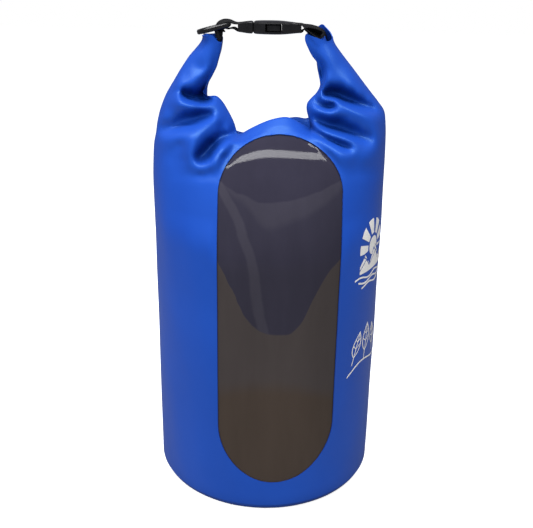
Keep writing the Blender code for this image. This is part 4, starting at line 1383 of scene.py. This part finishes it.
# =============================================================================
# the horns' open tops
# =============================================================================
# side, middle of the opening, direction out of it, half width of the outer turn
HORN_TOPS = (
    ("left", (-0.0572, 0, 0.4618), (0.42, 0, 0.91), 0.0066),
    ("right", (0.0455, 0, 0.4610), (-0.42, 0, 0.91), 0.0080),
)
ROLL_TURNS, ROLL_PER_TURN, ROLL_LEVELS = 2.6, 56, 7
ROLL_DEEP = 0.016


def roll_end(side, centre, outward, spread):
    """The rolled layers that show in a horn's open top."""
    axis = Vector(outward).normalized()
    wide = Vector((axis.z, 0, -axis.x))
    total = int(ROLL_TURNS * ROLL_PER_TURN)
    verts, flat = [], []
    length = 0.0
    last = None
    for k in range(total + 1):
        share = k / total
        angle = 2 * math.pi * ROLL_TURNS * share + 0.9
        across_half = spread * (1 - share) + 0.0026 * share
        depth_half = 0.0160 * (1 - share) + 0.0118 * share
        wobble = 1 + 0.025 * math.sin(3 * angle + 1.0)
        point = (
            Vector(centre) + wide * (math.cos(angle) * across_half * wobble)
            + Vector((0, 1, 0)) * (math.sin(angle) * depth_half)
        )
        if last is not None:
            length += (point - last).length
        last = point
        for down in np.linspace(-ROLL_DEEP, 0.0, ROLL_LEVELS):
            wavy = 0.0007 * math.sin(2.2 * angle + 0.5) * (1 + down / ROLL_DEEP)
            verts.append(tuple(point + axis * (down + wavy)))
            flat.append((length, down, 0))
    faces = quads_of(grid_ids(total + 1, ROLL_LEVELS))[:, [0, 3, 2, 1]]
    thing = mesh_object(f"roll_end_{side}", verts, faces, PVC, flat)
    thicken(thing, 0.0007, 0, 45)
    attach(thing, f"{side}_horn")


def core(side, centre, outward):
    """The stiffener's end in the middle of the roll."""
    axis = Vector(outward).normalized()
    wide = Vector((axis.z, 0, -axis.x))
    box = box_mesh((-0.0014, 0.0014), (-0.0100, 0.0100), (-0.008, 0.008))
    thing = mesh_object(f"core_{side}", *box, STRIP)
    basis = Matrix((wide, Vector((0, 1, 0)), axis)).transposed().to_4x4()
    basis.translation = Vector(centre) - axis * 0.0085
    thing.data.transform(basis)
    bevel = thing.modifiers.new("bev", "BEVEL")
    bevel.width = 0.0005
    bevel.segments = 2
    bake(thing)
    smooth(thing, 40)
    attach(thing, f"{side}_horn")


for side, centre, outward, spread in HORN_TOPS:
    roll_end(side, centre, outward, spread)
for side, centre, outward, _ in HORN_TOPS:
    core(side, centre, outward)

stop_box = box_mesh((0.0100, 0.0124), (-0.0132, 0.0132), (0.4682, 0.4748))
stop = mesh_object("socket_stop", *stop_box, PLASTIC)
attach(stop, "socket")

# =============================================================================
# base panel, turned
# =============================================================================
BASE_SEGMENTS = 176
BASE_FLAT_R, BASE_CORNER = 0.1063, 0.0097  # where the rounded corner starts, and its radius
# radius, z
BASE_PROFILE = [
    (0.0, 0.0020), (0.020, 0.0019), (0.040, 0.0016), (0.060, 0.0011), (0.078, 0.0005),
    (0.090, 0.0001), (0.099, 0.0),
    *((BASE_FLAT_R + BASE_CORNER * math.sin(a), BASE_CORNER - BASE_CORNER * math.cos(a))
      for a in np.linspace(0, math.pi / 2, 12)),
    (0.1158, 0.0125), (0.1155, 0.0170), (0.1153, 0.0235),
]


def build_base():
    verts, flat = [(0, 0, BASE_PROFILE[0][1])], [(0, 0, 0)]
    for r, z in BASE_PROFILE[1:]:
        for k in range(BASE_SEGMENTS):
            a = 2 * math.pi * k / BASE_SEGMENTS
            near_rim = max(0.0, 1 - abs(r - 0.09) / 0.04)
            pucker = 0.00035 * math.sin(7 * a + 0.4) * math.sin(3 * a + 1.1) * near_rim
            verts.append((r * math.cos(a), r * math.sin(a), z + abs(pucker)))
            flat.append((r * math.cos(a), r * math.sin(a) + z, 0))
    faces = [(0, 1 + (k + 1) % BASE_SEGMENTS, 1 + k) for k in range(BASE_SEGMENTS)]
    for i in range(len(BASE_PROFILE) - 2):
        first = 1 + i * BASE_SEGMENTS
        for k in range(BASE_SEGMENTS):
            here, beside = first + k, first + (k + 1) % BASE_SEGMENTS
            faces.append((here, beside, beside + BASE_SEGMENTS, here + BASE_SEGMENTS))
    base = mesh_object("base_panel", verts, faces, PVC, flat)
    thicken(base, WALL, -1.0, 50)
    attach(base, "bag")
    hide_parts("base_disc")


build_base()

# =============================================================================
# welded overlap down the back
# =============================================================================
SEAM_HALF, SEAM_TOP = 0.0092, 0.3395


def build_seam():
    rows = int(np.searchsorted(row_len, SEAM_TOP))
    cols = np.where(np.abs(across * HALF_WIDTH) < SEAM_HALF)[0]
    grid = back[:rows][:, cols] + back_normals[:rows][:, cols] * 0.00005
    faces = quads_of(grid_ids(rows, len(cols)))[:, [1, 0, 3, 2]]
    flat = flat_front[:rows][:, cols].reshape(-1, 3) + [0.25, 0.1, 0]
    seam = mesh_object("back_seam", grid.reshape(-1, 3), faces, PVC, flat)
    thicken(seam, 0.0006, 1.0, 50)
    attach(seam, "bag")


build_seam()

# =============================================================================
# print on the right front: sun, peaks, waves, leaves and a long swell
# =============================================================================
PRINT_ANGLE = math.radians(62)  # round the bag from the front towards the right
PRINT_Z = 0.2600
PRINT_HALF, PRINT_BELOW, PRINT_ABOVE = 0.040, 0.134, 0.046
PRINT_COLS, PRINT_ROWS = 242, 545
# middle across, middle up, half width, half height, tilt; mm
LEAVES = (
    (-22, -80, 7.0, 13.5, 0.34), (-4, -77, 7.6, 15.5, 0.10), (14, -80, 7.0, 13.5, -0.16),
)


def stroke(a, z, points, width):
    """Positive within a line of this width through the points."""
    dist = np.full(a.shape, 99.0)
    for (x0, z0), (x1, z1) in zip(points, points[1:]):
        dx, dz = x1 - x0, z1 - z0
        t = np.clip(((a - x0) * dx + (z - z0) * dz) / (dx * dx + dz * dz), 0, 1)
        dist = np.minimum(dist, np.hypot(a - x0 - dx * t, z - z0 - dz * t))
    return width / 2 - dist


def ink(a, z):
    """Positive where there is ink; a runs round the bag and z up it, in mm."""
    best = np.full(a.shape, -9.0)

    def add(shape):
        np.maximum(best, shape, out=best)

    def cut(shape):
        np.minimum(best, np.where(shape > 0, -shape, 9.0), out=best)

    low = z + 8.0
    z = z - 6.5
    # the sun and its rays, 9 to a half turn
    r = np.hypot(a, z - 6)
    add(9.5 - r)
    ray = np.abs(((np.arctan2(z - 6, a) * 9 / math.pi) % 2.0) - 1.0)
    spoke = np.minimum(np.minimum(r - 12.5, 27 - r), (0.62 - ray) * r * 0.20)
    add(np.where(z > 1.5, spoke, -9.0))
    # peaks in front of it, cut out by blue lines
    left, middle = 14 - 1.15 * np.abs(a + 17) - (z + 14), 19 - 1.2 * np.abs(a - 6) - (z + 14)
    right = 11 - 1.1 * np.abs(a - 27) - (z + 14)
    peak = np.minimum(np.maximum(np.maximum(left, middle), right), z + 18)
    peak = np.minimum(peak, a + 26)
    cut(peak + 1.6)
    add(peak)
    for shift, off in ((2.5, 5.0), (-4.0, 9.0)):
        ridge = [
            (-30, -22 + off), (-17 + shift, -10 + off), (-8, -17 + off), (6 + shift, -6 + off),
            (18, -18 + off), (27, -13 + off), (36, -16 + off),
        ]
        cut(stroke(a, z, ridge, 1.1) + 0.2)
    # waves below it
    for k, level in enumerate((-23.0, -27.5, -32.0)):
        wave = level + 1.5 * np.sin(a / 5.2 + k * 1.4)
        add(np.minimum(0.85 - np.abs(z - wave), 33 - k * 6 - np.abs(a)))
    # three outlined leaves further down, with veins
    z = low
    for mid_a, mid_z, half_wide, half_high, tilt in LEAVES:
        lean = (a - mid_a) - (z - mid_z) * tilt
        up = (z - mid_z) / half_high
        blade = half_wide * (1 - up**2) * np.maximum(1 - 0.22 * up, 0.2) - np.abs(lean)
        add(0.65 - np.abs(blade - 0.65))
        add(np.minimum(0.5 - np.abs(lean), (1.28 - np.abs(up + 0.28)) * half_high))
        for share in (-0.30, 0.22):
            vein = z - mid_z - share * half_high - np.abs(lean) * 0.75
            add(np.minimum(0.42 - np.abs(vein) * 0.8, blade - 1.6))
    # and one long swell
    swell = -111.0 + 5.5 * np.sin((a + 34) / 13.0) + (a + 34) * 0.16
    add(np.minimum(0.85 - np.abs(z - swell), 36 - np.abs(a)))
    return best


def lay_on_fabric(points, which):
    """Moves points to where a ray from outside meets the tarpaulin."""
    world = fabric_right.matrix_world
    skin = BVHTree.FromPolygons(
        [tuple(world @ v.co) for v in fabric_right.data.vertices],
        [tuple(face.vertices) for face in fabric_right.data.polygons],
    )
    for k in which:
        out = Vector((points[k, 0], points[k, 1], 0.0)).normalized()
        start = Vector((out.x * 0.16, out.y * 0.16, points[k, 2]))
        hit = skin.ray_cast(start, -out, 0.10)[0]
        if hit is not None:
            points[k] = hit + out * 0.00022


def build_print():
    around, up = np.meshgrid(
        np.linspace(-PRINT_HALF, PRINT_HALF, PRINT_COLS),
        np.linspace(-PRINT_BELOW, PRINT_ABOVE, PRINT_ROWS),
    )
    theta = (PRINT_ANGLE * RADIUS + around) / RADIUS
    reach = RADIUS + 0.00035
    verts = np.stack([reach * np.sin(theta), -reach * np.cos(theta), PRINT_Z + up], -1)
    verts = verts.reshape(-1, 3)
    field = ink(around / MM, up / MM).ravel()
    print_quads = quads_of(grid_ids(PRINT_ROWS, PRINT_COLS))
    print_quads = print_quads[(field[print_quads] > 0).any(1)]
    field = np.where(np.abs(field) < 0.01, -0.01, field)
    lay_on_fabric(verts, np.unique(print_quads))
    flat = np.stack([around.ravel(), up.ravel(), np.zeros(around.size)], -1)
    verts, faces, flat, _ = clip(verts, triangles_of(print_quads), flat, field)
    verts, faces, flat = compact(verts, faces, flat)
    art = mesh_object("print_generic", verts, faces, INK, flat)
    thicken(art, 0.00012, 0, 60)
    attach(art, "bag")


build_print()

# =============================================================================
# stage
# =============================================================================
FLOOR_HALF, FLOOR_Z = 8.0, -0.0003
floor_corners = [
    (x * FLOOR_HALF, y * FLOOR_HALF, FLOOR_Z) for x, y in ((-1, -1), (1, -1), (1, 1), (-1, 1))
]
floor = mesh_object("floor", floor_corners, [(0, 1, 2, 3)], floor_material())


def build_world():
    """White to the camera, dim in reflections, soft grey for the rest."""
    world = bpy.data.worlds.new("world")
    bpy.context.scene.world = world
    shader = Shader(world)
    rays = shader.add("LightPath").outputs
    tint = shader.mix(rays["Is Camera Ray"], (0.40, 0.42, 0.45), (1.0, 1.0, 1.0))
    dim = shader.mix(rays["Is Glossy Ray"], tint, (0.16, 0.16, 0.19))
    shader.fill(shader.tree.nodes["Background"], Color=dim)


def area_light(name, where, aim, size, power, size_y=None, glossy=True):
    light = bpy.data.lights.new(name, "AREA")
    light.energy = power
    light.size = size
    if size_y:
        light.shape = "RECTANGLE"
        light.size_y = size_y
    thing = bpy.data.objects.new(name, light)
    bpy.context.scene.collection.objects.link(thing)
    thing.location = where
    thing.rotation_mode = "QUATERNION"
    thing.rotation_quaternion = (Vector(aim) - Vector(where)).to_track_quat("-Z", "Y")
    thing.visible_glossy = glossy
    return thing


def build_camera():
    data = bpy.data.cameras.new("camera")
    camera = bpy.data.objects.new("camera", data)
    bpy.context.scene.collection.objects.link(camera)
    bpy.context.scene.camera = camera
    data.sensor_width = 36.0
    data.lens = 50.83227017
    data.clip_start = 0.05
    data.clip_end = 50
    camera.matrix_world = (
        Matrix.Translation(EYE.tolist())
        @ Matrix.Rotation(math.pi / 2 - PITCH, 4, "X")
        @ Matrix.Rotation(LEAN, 4, "Z")
    )


build_world()
top = area_light(
    "top_strip", where=(0.0, -0.27, 1.7), aim=(0, -0.1, 0.30), size=2.4, size_y=0.16, power=36.0
)
swing = Matrix.Rotation(math.radians(-20), 4, "Z").to_quaternion()
top.rotation_quaternion = swing @ top.rotation_quaternion
area_light(
    "front_soft", where=(-0.6, -2.1, 1.5), aim=(0, 0, 0.22), size=1.2, power=32.0, glossy=False
)
area_light(
    "key_left", where=(-1.6, -1.2, 0.8), aim=(0, 0, 0.16), size=0.9, power=7.0, glossy=False
)
build_camera()
